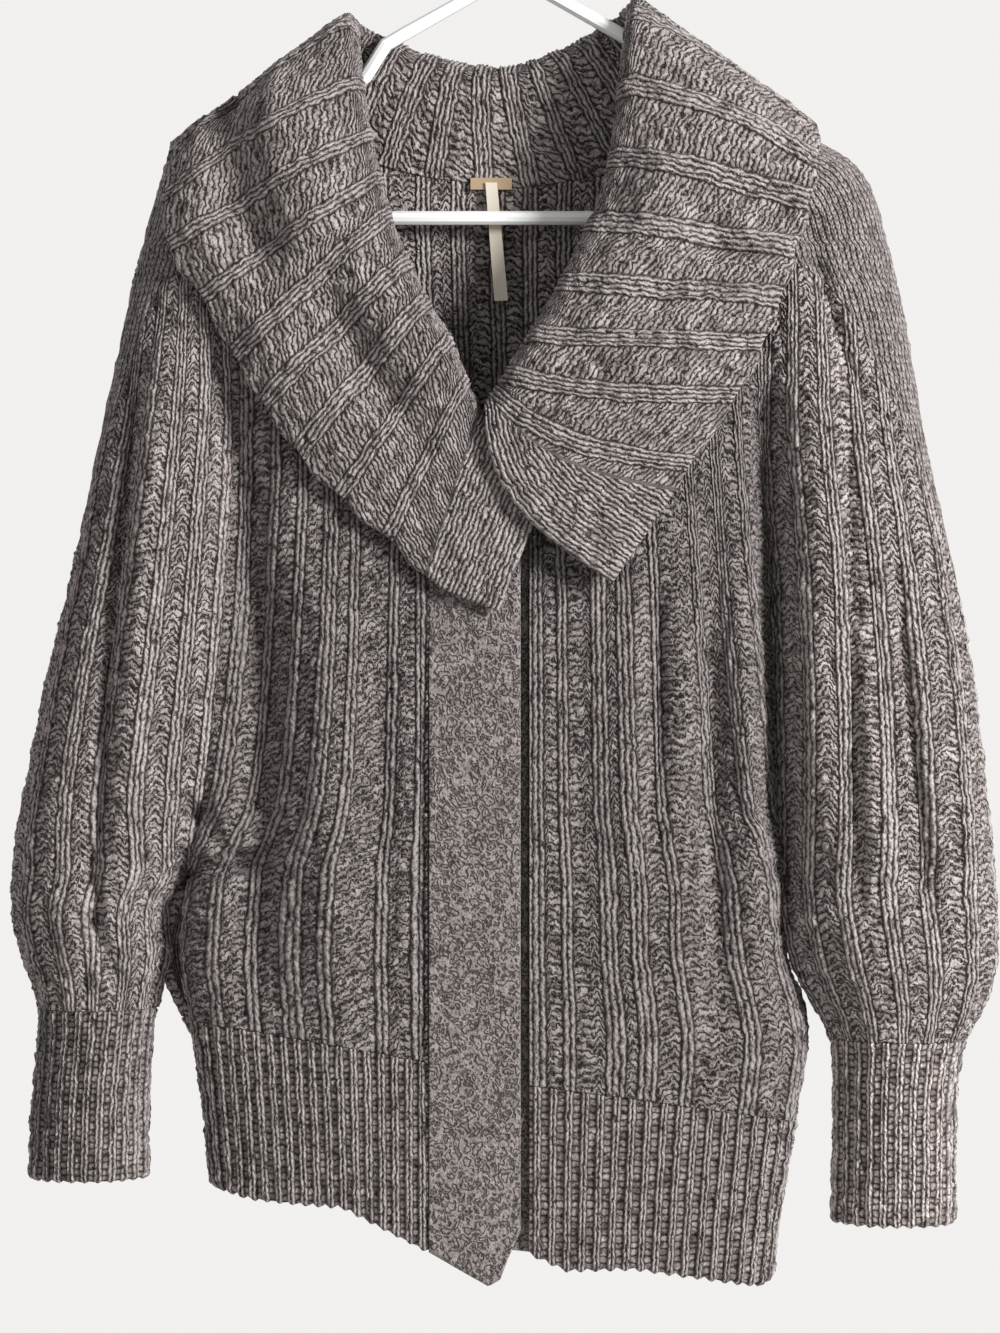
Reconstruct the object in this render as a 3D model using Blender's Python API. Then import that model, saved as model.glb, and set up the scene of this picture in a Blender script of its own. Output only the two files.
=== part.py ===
"""Shawl collar cardigan hanging on a tubular clothes hanger.

The knitted cloth is a set of closed walls. Each wall is worked out from sections of the
hanging garment: short tables give one row for each section or fold, and the ribs are
raised in the outer points over a plain inside.

Tables are in millimetres. "x" runs to the viewer's right of the hook, "y" runs back
through the garment and "drop" is measured down from the rest of the hook. The wearer's
right side is at minus x. Blender's own units are metres.
"""
import math

import bpy
import numpy as np
from mathutils import Vector
from mathutils.bvhtree import BVHTree

MM = 0.001
SEAM = 0.3                # space between two pieces that are joined
WALL = 4.6                # thickness of the knitted cloth
RIB_HEIGHT = 1.8          # how far a knit rib stands above the cloth
COLLAR_RIB_HEIGHT = 1.5   # how far a rib of the collar stands above the cloth
COLLAR_PLAIN = 0.07       # plain knit border at each end of the collar, as a share of its seam
BAND_WIDTH = 54.0         # width of a front band
REST = 1.5                # air under the collar's fall where it lies on a panel

LABEL = 1.2               # thickness of the neck tab and the hanging tape
STRIP_CROSS = np.array((0, 0.12, 0.26, 0.38, 0.45, 0.5, 0.55, 0.62, 0.74, 0.88, 1))
FRONT_RIBS = 6            # ribs across each front
FRONT_ROWS = 12
BACK_RIBS = 15            # ribs across the back
BACK_ROWS = 11
SLEEVE_RIBS = 12          # ribs round each sleeve
SLEEVE_ROWS = 11

STAND_STEPS = 2           # points across the collar's stand, fold and fall
FOLD_STEPS = 4
FALL_STEPS = 5

TUBE = 4.25               # radius of the hanger's tube
HOOK_RADIUS = 24.0        # radius of the hook's centre line
HANGER_BAR_DROP = 220.8   # middle of the lower bar

FRONT = -1
BACK = 1
COLLAR_FACE = -2          # folds of the collar's fall, pressed the same way as the front's

# Half of the body at each level: the outermost point is the armhole seam above the
# underarm and the side seam below it. Depths are those of the flat front and back.
BODY_COLUMNS = ("drop", "outer_x", "outer_front", "outer_back", "front", "back")
BODY_RIGHT = (
    (125, -172, -20, 14, -12, 10),
    (170, -172, -24, 18, -20, 15),
    (210, -172, -27, 22, -25, 20),
    (240, -171, -30, 23, -28, 24),
    (330, -166, -33, 27, -34, 28),
    (450, -171, -33, 29, -37, 30),
    (550, -181, -26, 24, -38, 31),
    (590, -188, -10, 12, -38, 31),
    (611, -192, 1, 3, -38, 31),
    (660, -197, 1.85, 2.15, -39, 31),
    (707, -190, 1.85, 2.15, -40, 32),
    (770, -182, 1.85, 2.15, -41, 33),
    (870, -174, 1.85, 2.15, -42, 34),
)
BODY_LEFT = (
    (125, 152, -20, 14, -12, 10),
    (170, 152, -23, 18, -20, 15),
    (210, 151, -26, 22, -25, 20),
    (240, 150, -28, 23, -28, 24),
    (330, 149, -25, 26, -34, 28),
    (450, 157, -17, 24, -37, 30),
    (550, 160, -9, 21, -38, 31),
    (600, 161, -1, 14, -38, 31),
    (628, 161, 7, 9, -38, 31),
    (660, 163, 7.85, 8.15, -38, 31),
    (690, 172, 7.85, 8.15, -39, 32),
    (712, 176, 7.85, 8.15, -40, 32),
    (755, 170, 7.85, 8.15, -40, 33),
    (827, 158, 7.85, 8.15, -42, 34),
    (880, 152, 7.85, 8.15, -42, 34),
)

# Sleeve at each level. Above the underarm its inner edge is the armhole seam; "strip"
# is the share of the half section that the plain shoulder strip takes.
SLEEVE_COLUMNS = ("drop", "inner_x", "inner_front", "inner_back", "outer_x", "outer_y",
                  "front", "back", "strip")
SLEEVE_RIGHT = (
    (240, -171, -30, 23, -221, 0, 0, 2, 1.00),
    (262, -170, -31, 24, -227, 0, 1, 3, 0.50),
    (288, -168, -32, 26, -232, 0, 3, 5, 0.36),
    (330, -166, -33, 27, -241, 0, 6, 7, 0.26),
    (388, -168, -33, 29, -253, -1, 9, 9, 0.14),
    (430, -170, -33, 29, -261, -1, 11, 10, 0.00),
    (502, -177, -30, 27, -278, -2, 15, 12, 0.00),
    (560, -182, -24, 22, -289, -3, 20, 16, 0.00),
    (590, -188, -10, 12, -295, -4, 33, 22, 0.00),
    (611, -192, 1, 3, -297, -4, 42, 28, 0.00),
    (633, -207, 1.85, 2.15, -297.5, -4, 41, 28, 0.00),
    (660, -205, 1.85, 2.15, -293, -3, 37, 27, 0.00),
    (682, -211, 0.85, 1.15, -284, -2, 30, 24, 0.00),
    (700, -214, -0.15, 0.15, -282, 0, 25, 21, 0.00),
    (749, -217.5, -0.15, 0.15, -286, 0, 23, 20, 0.00),
    (800, -217.5, -0.15, 0.15, -288.5, 0, 22, 20, 0.00),
)
SLEEVE_LEFT = (
    (240, 150, -28, 23, 225, 0, 0, 2, 1.00),
    (264, 150, -27.6, 23.5, 231, 0, 6, 4, 0.60),
    (288, 149.5, -27, 24, 236, 0, 10, 6, 0.46),
    (330, 149, -25, 26, 242, -2, 16, 8, 0.31),
    (378, 151, -22, 26, 251, -3, 21, 10, 0.16),
    (426, 155, -19, 25, 262, -4, 26, 12, 0.07),
    (462, 157, -16, 24, 268, -5, 29, 13, 0.00),
    (512, 159, -12, 22, 276, -6, 33, 15, 0.00),
    (560, 160, -8, 20, 281, -7, 38, 17, 0.00),
    (600, 161, -1, 14, 285, -8, 43, 22, 0.00),
    (628, 161, -3, -1, 287, -9, 44, 24, 0.00),
    (655, 164, -9.15, -8.85, 288, -9, 39, 24, 0.00),
    (676, 171, -9.15, -8.85, 286, -9, 34, 23, 0.00),
    (698, 184, -8.15, -7.85, 277, -8, 28, 22, 0.00),
    (716, 191, -6.15, -5.85, 268, -6, 25, 21, 0.00),
    (758, 192, -4.15, -3.85, 264, -4, 24, 20, 0.00),
    (830, 190, -4.15, -3.85, 264, -4, 23, 20, 0.00),
)

# Top edge of each body panel: the neckline, then the seam of the shoulder strip.
NECK_COLUMNS = ("x", "drop")
NECK_FRONT_RIGHT = ((-172, 240), (-142, 213), (-112, 178), (-104, 208), (-94, 240), (-72, 284),
                    (-49, 318))
NECK_FRONT_LEFT = ((150, 240), (125, 205), (97, 166), (80, 204), (65, 237), (44, 280), (22, 318),
                   (10, 337))
NECK_BACK = ((-172, 240), (-140, 211), (-107, 178), (-60, 193), (0, 201), (60, 193), (95, 172),
             (120, 203), (150, 240))
BAND_TOP_RIGHT = ((-49, 318), (-31, 352), (-13, 382), (5, 404))
BAND_TOP_LEFT = ((-44, 386), (-14, 368), (10, 337))

# Where the hem rib starts and ends below each panel, from one side to the other.
HEM_COLUMNS = ("x", "top", "bottom")
HEM_RIGHT = ((-192, 700, 796), (-154, 705, 804), (-100, 713, 808), (-49, 723, 834))
HEM_LEFT = ((10, 736, 835), (32, 739, 845), (71, 744, 844), (110, 750, 850), (148, 756, 857),
            (168, 761, 852))
HEM_BACK = ((-192, 700, 796), (-100, 713, 810), (0, 730, 828), (100, 747, 843), (168, 761, 852))
BAND_BOTTOM_RIGHT = ((-49, 834), (-30, 845), (-14, 854), (-7, 850), (-3, 839), (5, 821))
BAND_BOTTOM_LEFT = ((-44, 829), (10, 835))

# Shoulder line of the plain strip, from the neck out to the sleeve.
RIDGE_COLUMNS = ("share", "x", "drop")
RIDGE_RIGHT = ((0.0, -112, 137), (0.3, -150, 157), (0.6, -198, 183), (0.75, -208, 194),
               (0.88, -214, 213), (1.0, -221, 240))
RIDGE_LEFT = ((0.0, 102, 131), (0.3, 145, 156), (0.6, 186, 178), (0.75, 206, 191),
              (0.88, 217, 210), (1.0, 225, 240))

# Cuff ends and the level where each cuff starts.
CUFF_TOP_RIGHT = 694
CUFF_END_RIGHT = 796
CUFF_TOP_LEFT = 712
CUFF_END_LEFT = 822

# Largest folds: soft troughs (depth above 0) and ridges (below 0) pressed into front or back.
FOLD_COLUMNS = ("face", "x_top", "drop_top", "x_end", "drop_end", "width", "depth")
FOLDS = (
    (FRONT, -213, 285, -270, 640, 9, 14),
    (FRONT, -229, 330, -284, 650, 9, -4),
    (FRONT, -204, 295, -252, 640, 11, -7),
    (FRONT, -172, 300, -146, 500, 13, 6),
    (FRONT, -148, 440, -152, 690, 13, 8),
    (FRONT, -112, 430, -106, 700, 12, -4),
    (FRONT, -78, 440, -72, 720, 9, 4),
    (FRONT, -205, 560, -160, 606, 8, 8),
    (FRONT, 15, 310, 16, 440, 13, 6),
    (FRONT, 36, 440, 40, 720, 10, 3),
    (FRONT, 66, 450, 70, 740, 11, -3),
    (FRONT, 86, 420, 84, 620, 9, 5),
    (FRONT, 118, 380, 120, 730, 12, 9),
    (FRONT, 144, 380, 148, 700, 11, -4),
    (FRONT, 184, 450, 208, 630, 9, 5),
    (FRONT, 205, 400, 238, 650, 9, 7),
    (FRONT, 178, 300, 182, 600, 10, -4),
    (BACK, -150, 330, -162, 640, 13, 8),
    (BACK, -95, 360, -90, 700, 14, 6),
    (BACK, -45, 300, -38, 690, 12, 4),
    (BACK, 30, 320, 36, 700, 13, 5),
    (BACK, 92, 340, 98, 690, 13, 6),
    (BACK, 132, 330, 142, 640, 12, 7),
    (BACK, -214, 330, -240, 620, 12, 7),
    (BACK, 200, 340, 222, 620, 12, 7),
    (COLLAR_FACE, -174, 128, -140, 272, 9, 6),
    (COLLAR_FACE, -146, 130, -118, 290, 14, -3),
    (COLLAR_FACE, 96, 150, 66, 330, 16, -2),
    (COLLAR_FACE, 84, 236, 172, 186, 11, 4),
    (COLLAR_FACE, 60, 296, 150, 258, 10, 4),
)

# Collar at each station, from the right-hand tip round the neck to the left-hand tip.
# "seam" is the share of the neckline, "roll" the fold's edge, "outer" the free edge and
# "face" the side it falls to in degrees (-90 front, 0 up, 90 back). "radius" is half the
# fold's thickness, "bulge" how far the fall stands off a straight line and "sweep" how far
# its middle is drawn on towards the left-hand tip, which rounds that end.
COLLAR_COLUMNS = ("seam", "roll_x", "roll_drop", "roll_y", "outer_x", "outer_drop", "outer_y",
                  "face", "radius", "bulge", "sweep")
COLLAR = (
    (0.000, 26, 374, -43, -8, 458, -47, -90, 8.0, 0, 0),
    (0.060, -15, 349, -42, -42, 444, -47, -90, 8.5, 3, 0),
    (0.095, -26, 325, -41, -70, 419, -46, -90, 9.0, 4, 0),
    (0.120, -34, 303, -40, -96, 397, -46, -90, 9.5, 6, 0),
    (0.155, -48, 279, -37, -122, 371, -45, -90, 9.5, 8, 0),
    (0.190, -60, 255, -35, -144, 341, -44, -90, 9.5, 9, 0),
    (0.230, -72, 226, -32, -162, 312, -42, -90, 9.5, 10, 0),
    (0.262, -78, 203, -29, -182, 276, -40, -90, 9.5, 10, 0),
    (0.298, -84, 176, -25, -203, 244, -37, -86, 9.5, 10, 0),
    (0.330, -89, 146, -18, -208, 214, -26, -66, 9.5, 10, 0),
    (0.352, -93, 109, -1, -204, 177, 0, 0, 9.0, 0, 0),
    (0.385, -80, 110, 13, -196, 207, 33, 66, 9.0, 6, 0),
    (0.430, -50, 121, 19, -140, 238, 40, 86, 9.0, 8, 0),
    (0.522, -7, 128, 21, -18, 252, 45, 90, 9.0, 10, 0),
    (0.600, 32, 116, 19, 92, 243, 41, 86, 9.0, 8, 0),
    (0.655, 60, 101, 13, 168, 205, 34, 66, 8.0, 6, 0),
    (0.699, 71, 97, -1, 184, 167, 1, 0, 6.5, 0, 0),
    (0.727, 66, 128, -20, 182, 189, -27, -66, 9.0, 9, 0),
    (0.762, 62, 165, -27, 178, 208, -38, -86, 10.0, 10, 0),
    (0.805, 55, 203, -32, 172, 230, -43, -90, 10.5, 10, 0),
    (0.848, 42, 237, -36, 165, 254, -46, -90, 11.0, 10, 0),
    (0.903, 20, 280, -42, 154, 287, -49, -90, 12.0, 9, 1),
    (0.950, -1, 314, -45, 138, 322, -50, -90, 13.0, 8, 5),
    (0.968, -9, 328, -46, 113, 361, -51, -90, 13.5, 7, 10),
    (0.985, -13, 334, -46, 88, 399, -52, -90, 12.5, 5, 16),
    (1.000, -16, 338, -46, 59, 441, -53, -90, 12.0, 3, 20),
)

UNDERARM = 618            # level at which the sleeves part from the body
CLOTH = (0.225, 0.205, 0.200)
PLASTIC_WHITE = (0.86, 0.87, 0.87)
TAN = (0.50, 0.36, 0.23)
CREAM = (0.78, 0.71, 0.60)


# ---------------------------------------------------------------- tables and curves

def column(columns, rows, name):
    """One named column of a table."""
    return np.array([row[columns.index(name)] for row in rows], float)


def smooth(knots, values, where):
    """Cubic through the table's rows that never overshoots between them."""
    step = np.diff(knots)
    slope = np.diff(values) / step
    tangent = np.zeros(len(values))
    tangent[0] = slope[0]
    tangent[-1] = slope[-1]
    for i in range(1, len(values) - 1):
        if slope[i - 1] * slope[i] > 0:
            before = 2 * step[i] + step[i - 1]
            after = step[i] + 2 * step[i - 1]
            tangent[i] = (before + after) / (before / slope[i - 1] + after / slope[i])
    where = np.clip(where, knots[0], knots[-1])
    i = np.clip(np.searchsorted(knots, where, side="right") - 1, 0, len(step) - 1)
    t = (where - knots[i]) / step[i]
    keep = 2 * t**3 - 3 * t**2 + 1
    lead = (t**3 - 2 * t**2 + t) * step[i]
    trail = (t**3 - t**2) * step[i]
    return keep * values[i] + (1 - keep) * values[i + 1] + lead * tangent[i] + trail * tangent[i + 1]


def read(columns, rows, name, where):
    """Value of a named column at a place between the rows."""
    return smooth(column(columns, rows, columns[0]), column(columns, rows, name), where)


def evenly(points, shares):
    """Points at the given shares of a curve's length."""
    steps = np.linalg.norm(np.diff(points[:, :3], axis=0), axis=1)
    length = np.concatenate(([0], np.cumsum(steps)))
    length /= length[-1]
    return np.stack([np.interp(shares, length, points[:, k]) for k in range(points.shape[1])], axis=1)


def bow(start, end, flat, bulge, root=None):
    """Section from an outer edge to an inner point, in x, drop and y.

    "flat" is the exponent of the rounding, "root" turns the outer edge from a crease (1)
    to fully round (the same as flat), and "bulge" lifts the middle, with its sign.
    """
    q = (1 - np.cos(np.linspace(0, math.pi, 61))) / 2
    rise = (1 - (1 - q) ** flat) ** (1 / (root or flat))
    lobe = 1 - np.abs(2 * q - 1) ** flat
    lobe = np.where(q < 0.5, lobe ** (1 / flat), lobe)
    line = np.outer(1 - q, start) + np.outer(q, end)
    line[:, 2] = start[2] + (end[2] - start[2]) * rise + bulge * lobe
    return line


def press_folds(points, face):
    """Moves points in or out along the folds of one face of the garment."""
    for fold in FOLDS:
        named = dict(zip(FOLD_COLUMNS, fold))
        if named["face"] != face:
            continue
        top = np.array((named["x_top"], named["drop_top"]), float)
        end = np.array((named["x_end"], named["drop_end"]), float)
        run = end - top
        span = np.linalg.norm(run)
        offset = points[..., :2] - top
        along = offset @ run / span**2
        aside = (offset[..., 0] * run[1] - offset[..., 1] * run[0]) / span
        fade = np.clip(np.sin(math.pi * np.clip(along, 0, 1)), 0, 1) ** 0.6
        points[..., 2] -= face * named["depth"] * fade * np.exp(-((aside / named["width"]) ** 2))
    return points


# ---------------------------------------------------------------- the garment's sections

def body_half(rows, face, drop, centre_x):
    """Section of one half of the front or back at one level, from the outer edge in."""
    side = "front" if face == FRONT else "back"
    outer_x = read(BODY_COLUMNS, rows, "outer_x", drop)
    outer_y = read(BODY_COLUMNS, rows, "outer_" + side, drop)
    depth = read(BODY_COLUMNS, rows, side, drop)
    below = np.clip((drop - UNDERARM + 40) / 60, 0, 1)
    flat = 6.0 - 2.6 * below
    return bow((outer_x, drop, outer_y), (centre_x, drop, depth), flat, 0, 1 + (flat - 1) * below)


def armhole_point(side, face, drop):
    """Inner edge of a sleeve: on the body down to the underarm and on its own below it."""
    way = "front" if face == FRONT else "back"
    if drop <= side["underarm"]:
        return (read(BODY_COLUMNS, side["body"], "outer_x", drop), drop,
                read(BODY_COLUMNS, side["body"], "outer_" + way, drop))
    return (read(SLEEVE_COLUMNS, side["sleeve"], "inner_x", drop), drop,
            read(SLEEVE_COLUMNS, side["sleeve"], "inner_" + way, drop))


def sleeve_half(side, face, drop):
    """Section of the front or back of a sleeve at one level, from the seam out."""
    rows = side["sleeve"]
    inner = armhole_point(side, face, drop)
    outer = (read(SLEEVE_COLUMNS, rows, "outer_x", drop), drop,
             read(SLEEVE_COLUMNS, rows, "outer_y", drop))
    bulge = read(SLEEVE_COLUMNS, rows, "front" if face == FRONT else "back", drop)
    return bow(outer, inner, 2.3, face * bulge)[::-1]


def sleeve_ring(side, drop):
    """Whole section of a sleeve from the front seam round its outer side to the back seam."""
    return np.concatenate((sleeve_half(side, FRONT, drop), sleeve_half(side, BACK, drop)[::-1][1:]))


class Levels:
    """A surface kept as sections at close levels, read at a share and a drop."""

    def __init__(self, section, top, bottom, samples=121, spacing=4.0):
        self.drops = np.linspace(top, bottom, int((bottom - top) / spacing) + 2)
        self.shares = np.linspace(0, 1, samples)
        self.points = np.stack([evenly(section(drop), self.shares) for drop in self.drops])

    def at(self, share, drop):
        share, drop = np.broadcast_arrays(share, drop)
        row = np.clip((drop - self.drops[0]) / (self.drops[1] - self.drops[0]), 0, len(self.drops) - 1.001)
        col = np.clip(share, 0, 1) * (len(self.shares) - 1.001)
        i = row.astype(int)
        j = col.astype(int)
        a = (row - i)[..., None]
        b = (col - j)[..., None]
        grid = self.points
        near = grid[i, j] * (1 - b) + grid[i, j + 1] * b
        far = grid[i + 1, j] * (1 - b) + grid[i + 1, j + 1] * b
        point = near * (1 - a) + far * a
        point[..., 1] = drop
        return point


def edge_drop(columns, rows, surface, shares, name):
    """Level of a panel's slanted edge at each share, found where the panel crosses it."""
    x_rows = column(columns, rows, "x")
    levels = column(columns, rows, name)
    drop = np.full(len(shares), levels.mean())
    for _ in range(6):
        drop = np.interp(surface.at(shares, drop)[:, 0], x_rows, levels)
    return drop


# ---------------------------------------------------------------- closed walls of cloth

def grid_normals(points, outward):
    """Unit normals of a grid of points, turned to the side of a hint vector field."""
    down = np.gradient(points, axis=0)
    across = np.gradient(points, axis=1)
    normal = np.cross(down, across)
    normal /= np.maximum(np.linalg.norm(normal, axis=2, keepdims=True), 1e-9)
    return normal * outward


def unit(vector):
    """Vectors of length one."""
    vector = np.asarray(vector, float)
    return vector / np.linalg.norm(vector, axis=-1, keepdims=True)


def to_world(points):
    """From x, drop and y in millimetres to Blender's metres."""
    return np.stack((points[..., 0], points[..., 2], -points[..., 1]), axis=-1) * MM


def finish_mesh(name, verts, faces, finish):
    """Makes the named object with its finish."""
    mesh = bpy.data.meshes.new(name)
    mesh.from_pydata([tuple(v) for v in verts], [], faces)
    mesh.update()
    for polygon in mesh.polygons:
        polygon.use_smooth = True
    mesh.materials.append(finish)
    piece = bpy.data.objects.new(name, mesh)
    bpy.context.scene.collection.objects.link(piece)
    return piece


def cloth_wall(name, points, outward, finish, relief=0.0, inward=None, level_rims=True):
    """Closed wall on a grid of points: a ribbed outside over a plain inside.

    "inward" gives, for some of the edges "first_row", "last_row", "first_column" and
    "last_column", the direction in which the rim runs, so that two panels that meet
    there share one rim direction and stay apart. "level_rims" keeps the first and last
    rows' rims level, where one piece follows another down the garment.
    """
    normal = grid_normals(points, outward)
    inside = -normal
    if level_rims:
        inside[[0, -1], :, 1] = 0.0
        inside[[0, -1]] = unit(inside[[0, -1]])
    edges = {"first_row": (0, slice(None)), "last_row": (-1, slice(None)),
             "first_column": (slice(None), 0), "last_column": (slice(None), -1)}
    for edge, direction in (inward or {}).items():
        inside[edges[edge]] = unit(np.broadcast_to(direction, inside[edges[edge]].shape))
    relief = np.broadcast_to(relief, points.shape[:2])[..., None]
    outer = to_world(points - inside * relief)
    inner = to_world(points + inside * WALL)
    rows, cols = points.shape[:2]
    verts = np.concatenate((outer.reshape(-1, 3), inner.reshape(-1, 3)))
    back = rows * cols
    faces = []
    for i in range(rows - 1):
        for j in range(cols - 1):
            a, b = i * cols + j, i * cols + j + 1
            c, d = b + cols, a + cols
            faces.append((a, b, c, d))
            faces.append((back + a, back + d, back + c, back + b))
    rim = [j for j in range(cols)]
    rim += [i * cols + cols - 1 for i in range(1, rows)]
    rim += [(rows - 1) * cols + j for j in range(cols - 2, -1, -1)]
    rim += [i * cols for i in range(rows - 2, 0, -1)]
    for a, b in zip(rim, rim[1:] + rim[:1]):
        faces.append((b, a, back + a, back + b))
    if outward_flips(verts, faces):
        faces = [face[::-1] for face in faces]
    return finish_mesh(name, verts, faces, finish)


def outward_flips(verts, faces):
    """True where the faces enclose a negative volume, so that they point inwards."""
    volume = 0.0
    for face in faces:
        corner = verts[face[0]]
        for b, c in zip(face[1:-1], face[2:]):
            volume += float(np.dot(corner, np.cross(verts[b], verts[c])))
    return volume < 0


def rib_shares(repeats):
    """Column shares with three points to each rib repeat, the rib on the middle one."""
    steps = []
    for rib in range(repeats):
        steps += [rib, rib + 0.36, rib + 0.64]
    return np.array(steps + [repeats], float) / repeats


def rib_relief(rows, repeats, height=RIB_HEIGHT, flat_first=0, flat_last=0):
    """Height of the ribs over a grid whose columns follow rib_shares.

    The first and last few repeats can stay flat, next to a seam that lies in a crease.
    """
    pattern = []
    for rib in range(repeats):
        raised = flat_first <= rib < repeats - flat_last
        pattern += [0.0, height * raised, height * raised]
    return np.broadcast_to(np.array(pattern + [0.0]), (rows, 3 * repeats + 1))


def edge_rib_relief(rows, cols, height=RIB_HEIGHT):
    """Alternate raised columns for a one-by-one rib."""
    return np.broadcast_to(np.where(np.arange(cols) % 2 == 1, height, 0.0), (rows, cols))


def material(name, colour, roughness):
    """Plain finish of one sub-part."""
    finish = bpy.data.materials.new(name)
    finish.use_nodes = True
    shader = finish.node_tree.nodes["Principled BSDF"]
    shader.inputs["Base Color"].default_value = (*colour, 1.0)
    shader.inputs["Roughness"].default_value = roughness
    shader.inputs["Metallic"].default_value = 0.0
    return finish


# ---------------------------------------------------------------- body panels

SIDES = {
    "right": {"sign": -1, "body": BODY_RIGHT, "sleeve": SLEEVE_RIGHT, "ridge": RIDGE_RIGHT,
              "underarm": 611.0, "front_edge": -49.0, "neck": NECK_FRONT_RIGHT, "hem": HEM_RIGHT,
              "cuff_top": CUFF_TOP_RIGHT, "cuff_end": CUFF_END_RIGHT, "corner": (-112, -107)},
    "left": {"sign": 1, "body": BODY_LEFT, "sleeve": SLEEVE_LEFT, "ridge": RIDGE_LEFT,
             "underarm": 628.0, "front_edge": 10.0, "neck": NECK_FRONT_LEFT, "hem": HEM_LEFT,
             "cuff_top": CUFF_TOP_LEFT, "cuff_end": CUFF_END_LEFT, "corner": (97, 95)},
}


def front_surface(side):
    """Surface of one front, share 0 at the band and 1 at the side."""
    edge = side["front_edge"]
    return Levels(lambda drop: body_half(side["body"], FRONT, drop, edge)[::-1], 125, 880)


def back_section(drop):
    """Section of the whole back from the wearer's right to the left."""
    right = body_half(BODY_RIGHT, BACK, drop, -10.0)
    left = body_half(BODY_LEFT, BACK, drop, 10.0)
    return np.concatenate((right, left[::-1]))


def back_surface():
    """Surface of the back, share 0 at the wearer's right and 1 at the left."""
    return Levels(back_section, 125, 880, samples=241)


def seam_direction(side, drop, face, body):
    """Rim direction along the armhole and side seam, for the body or for the sleeve."""
    towards = -side["sign"] if body else side["sign"]
    share = np.clip((drop - (side["underarm"] - 60)) / 60, 0, 1)
    depth = -face * (1 - share)
    return unit(np.stack((towards * share, np.zeros_like(share), depth), axis=-1))


def panel_rows(top, bottom, rows):
    """Levels of a panel's grid: even rows between two slanted edges."""
    steps = np.linspace(0, 1, rows)[:, None]
    return top[None, :] * (1 - steps) + bottom[None, :] * steps


def front_grid(side, surface, rows=FRONT_ROWS, repeats=FRONT_RIBS):
    """Points of one front between band, neckline, strip, armhole and hem."""
    shares = rib_shares(repeats)
    edge_rows = sorted(side["neck"])
    top = edge_drop(NECK_COLUMNS, edge_rows, surface, shares, "drop") + SEAM / 2
    bottom = edge_drop(HEM_COLUMNS, side["hem"], surface, shares, "top") - SEAM
    drops = panel_rows(top, bottom, rows)
    points = press_folds(surface.at(shares[None, :], drops), FRONT)
    points[:, 0, 0] += side["sign"] * SEAM / 2
    points[:, -1, 0] -= side["sign"] * SEAM / 2
    return points


def front_panel(name, side, points, finish):
    """Front of the body with its ribs."""
    inward = {"first_row": (0, 0, 1), "first_column": (0, 0, 1),
              "last_column": seam_direction(side, points[:, -1, 1], FRONT, True)}
    relief = rib_relief(FRONT_ROWS, FRONT_RIBS, flat_last=1)
    return cloth_wall(name, points, side["sign"], finish, relief, inward)


def back_grid(surface, rows=BACK_ROWS, repeats=BACK_RIBS):
    """Points of the back between neckline, strips, armholes and hem."""
    shares = rib_shares(repeats)
    top = edge_drop(NECK_COLUMNS, NECK_BACK, surface, shares, "drop") + SEAM / 2
    bottom = edge_drop(HEM_COLUMNS, HEM_BACK, surface, shares, "top") - SEAM
    drops = panel_rows(top, bottom, rows)
    points = press_folds(surface.at(shares[None, :], drops), BACK)
    points[:, 0, 0] += SEAM / 2
    points[:, -1, 0] -= SEAM / 2
    return points


def back_panel(points, finish):
    """Back of the body with its ribs."""
    inward = {"first_row": (0, 0, -1),
              "first_column": seam_direction(SIDES["right"], points[:, 0, 1], BACK, True),
              "last_column": seam_direction(SIDES["left"], points[:, -1, 1], BACK, True)}
    relief = rib_relief(BACK_ROWS, BACK_RIBS, flat_first=1, flat_last=1)
    return cloth_wall("back", points, -1, finish, relief, inward)


def hem_panel(name, surface, rows_table, face, outward, finish, ribs, inward, shift):
    """Ribbed hem below a body panel."""
    shares = np.linspace(0, 1, 2 * ribs + 1)
    top = edge_drop(HEM_COLUMNS, rows_table, surface, shares, "top") + SEAM
    bottom = edge_drop(HEM_COLUMNS, rows_table, surface, shares, "bottom")
    drops = panel_rows(top, bottom, 3)
    points = press_folds(surface.at(shares[None, :], drops), face)
    points[:, 0, 0] += shift[0]
    points[:, -1, 0] += shift[1]
    relief = edge_rib_relief(3, len(shares))
    return cloth_wall(name, points, outward, finish, relief, inward)


def band_grid(left_x, top_rows, bottom_rows, depth, rows=14):
    """Points of a narrow front band."""
    across = np.linspace(left_x, left_x + BAND_WIDTH, 4)
    across[0] += SEAM / 2
    across[-1] -= SEAM / 2
    top = np.interp(across, column(NECK_COLUMNS, top_rows, "x"), column(NECK_COLUMNS, top_rows, "drop"))
    bottom = np.interp(across, column(NECK_COLUMNS, bottom_rows, "x"),
                       column(NECK_COLUMNS, bottom_rows, "drop"))
    drops = panel_rows(top, bottom, rows)
    points = np.zeros((rows, 4, 3))
    points[..., 0] = across[None, :]
    points[..., 1] = drops
    points[..., 2] = read(BODY_COLUMNS, BODY_RIGHT, "front", drops) + depth
    return points


def band(name, points, finish):
    """Front band in a plain flat knit."""
    inward = {edge: (0, 0, 1) for edge in ("first_row", "first_column", "last_column")}
    return cloth_wall(name, points, 1, finish, 0.0, inward)


# ---------------------------------------------------------------- shoulder strips and sleeves

def strip_start_drop(side, share):
    """Level at which a sleeve column comes out from under the shoulder strip."""
    rows = side["sleeve"]
    levels = column(SLEEVE_COLUMNS, rows, "drop")
    starts = 0.5 * (1 - column(SLEEVE_COLUMNS, rows, "strip"))
    used = [i for i in range(len(starts)) if i == 0 or starts[i] > starts[i - 1]]
    return np.interp(np.minimum(share, 1 - share), starts[used], levels[used])


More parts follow.
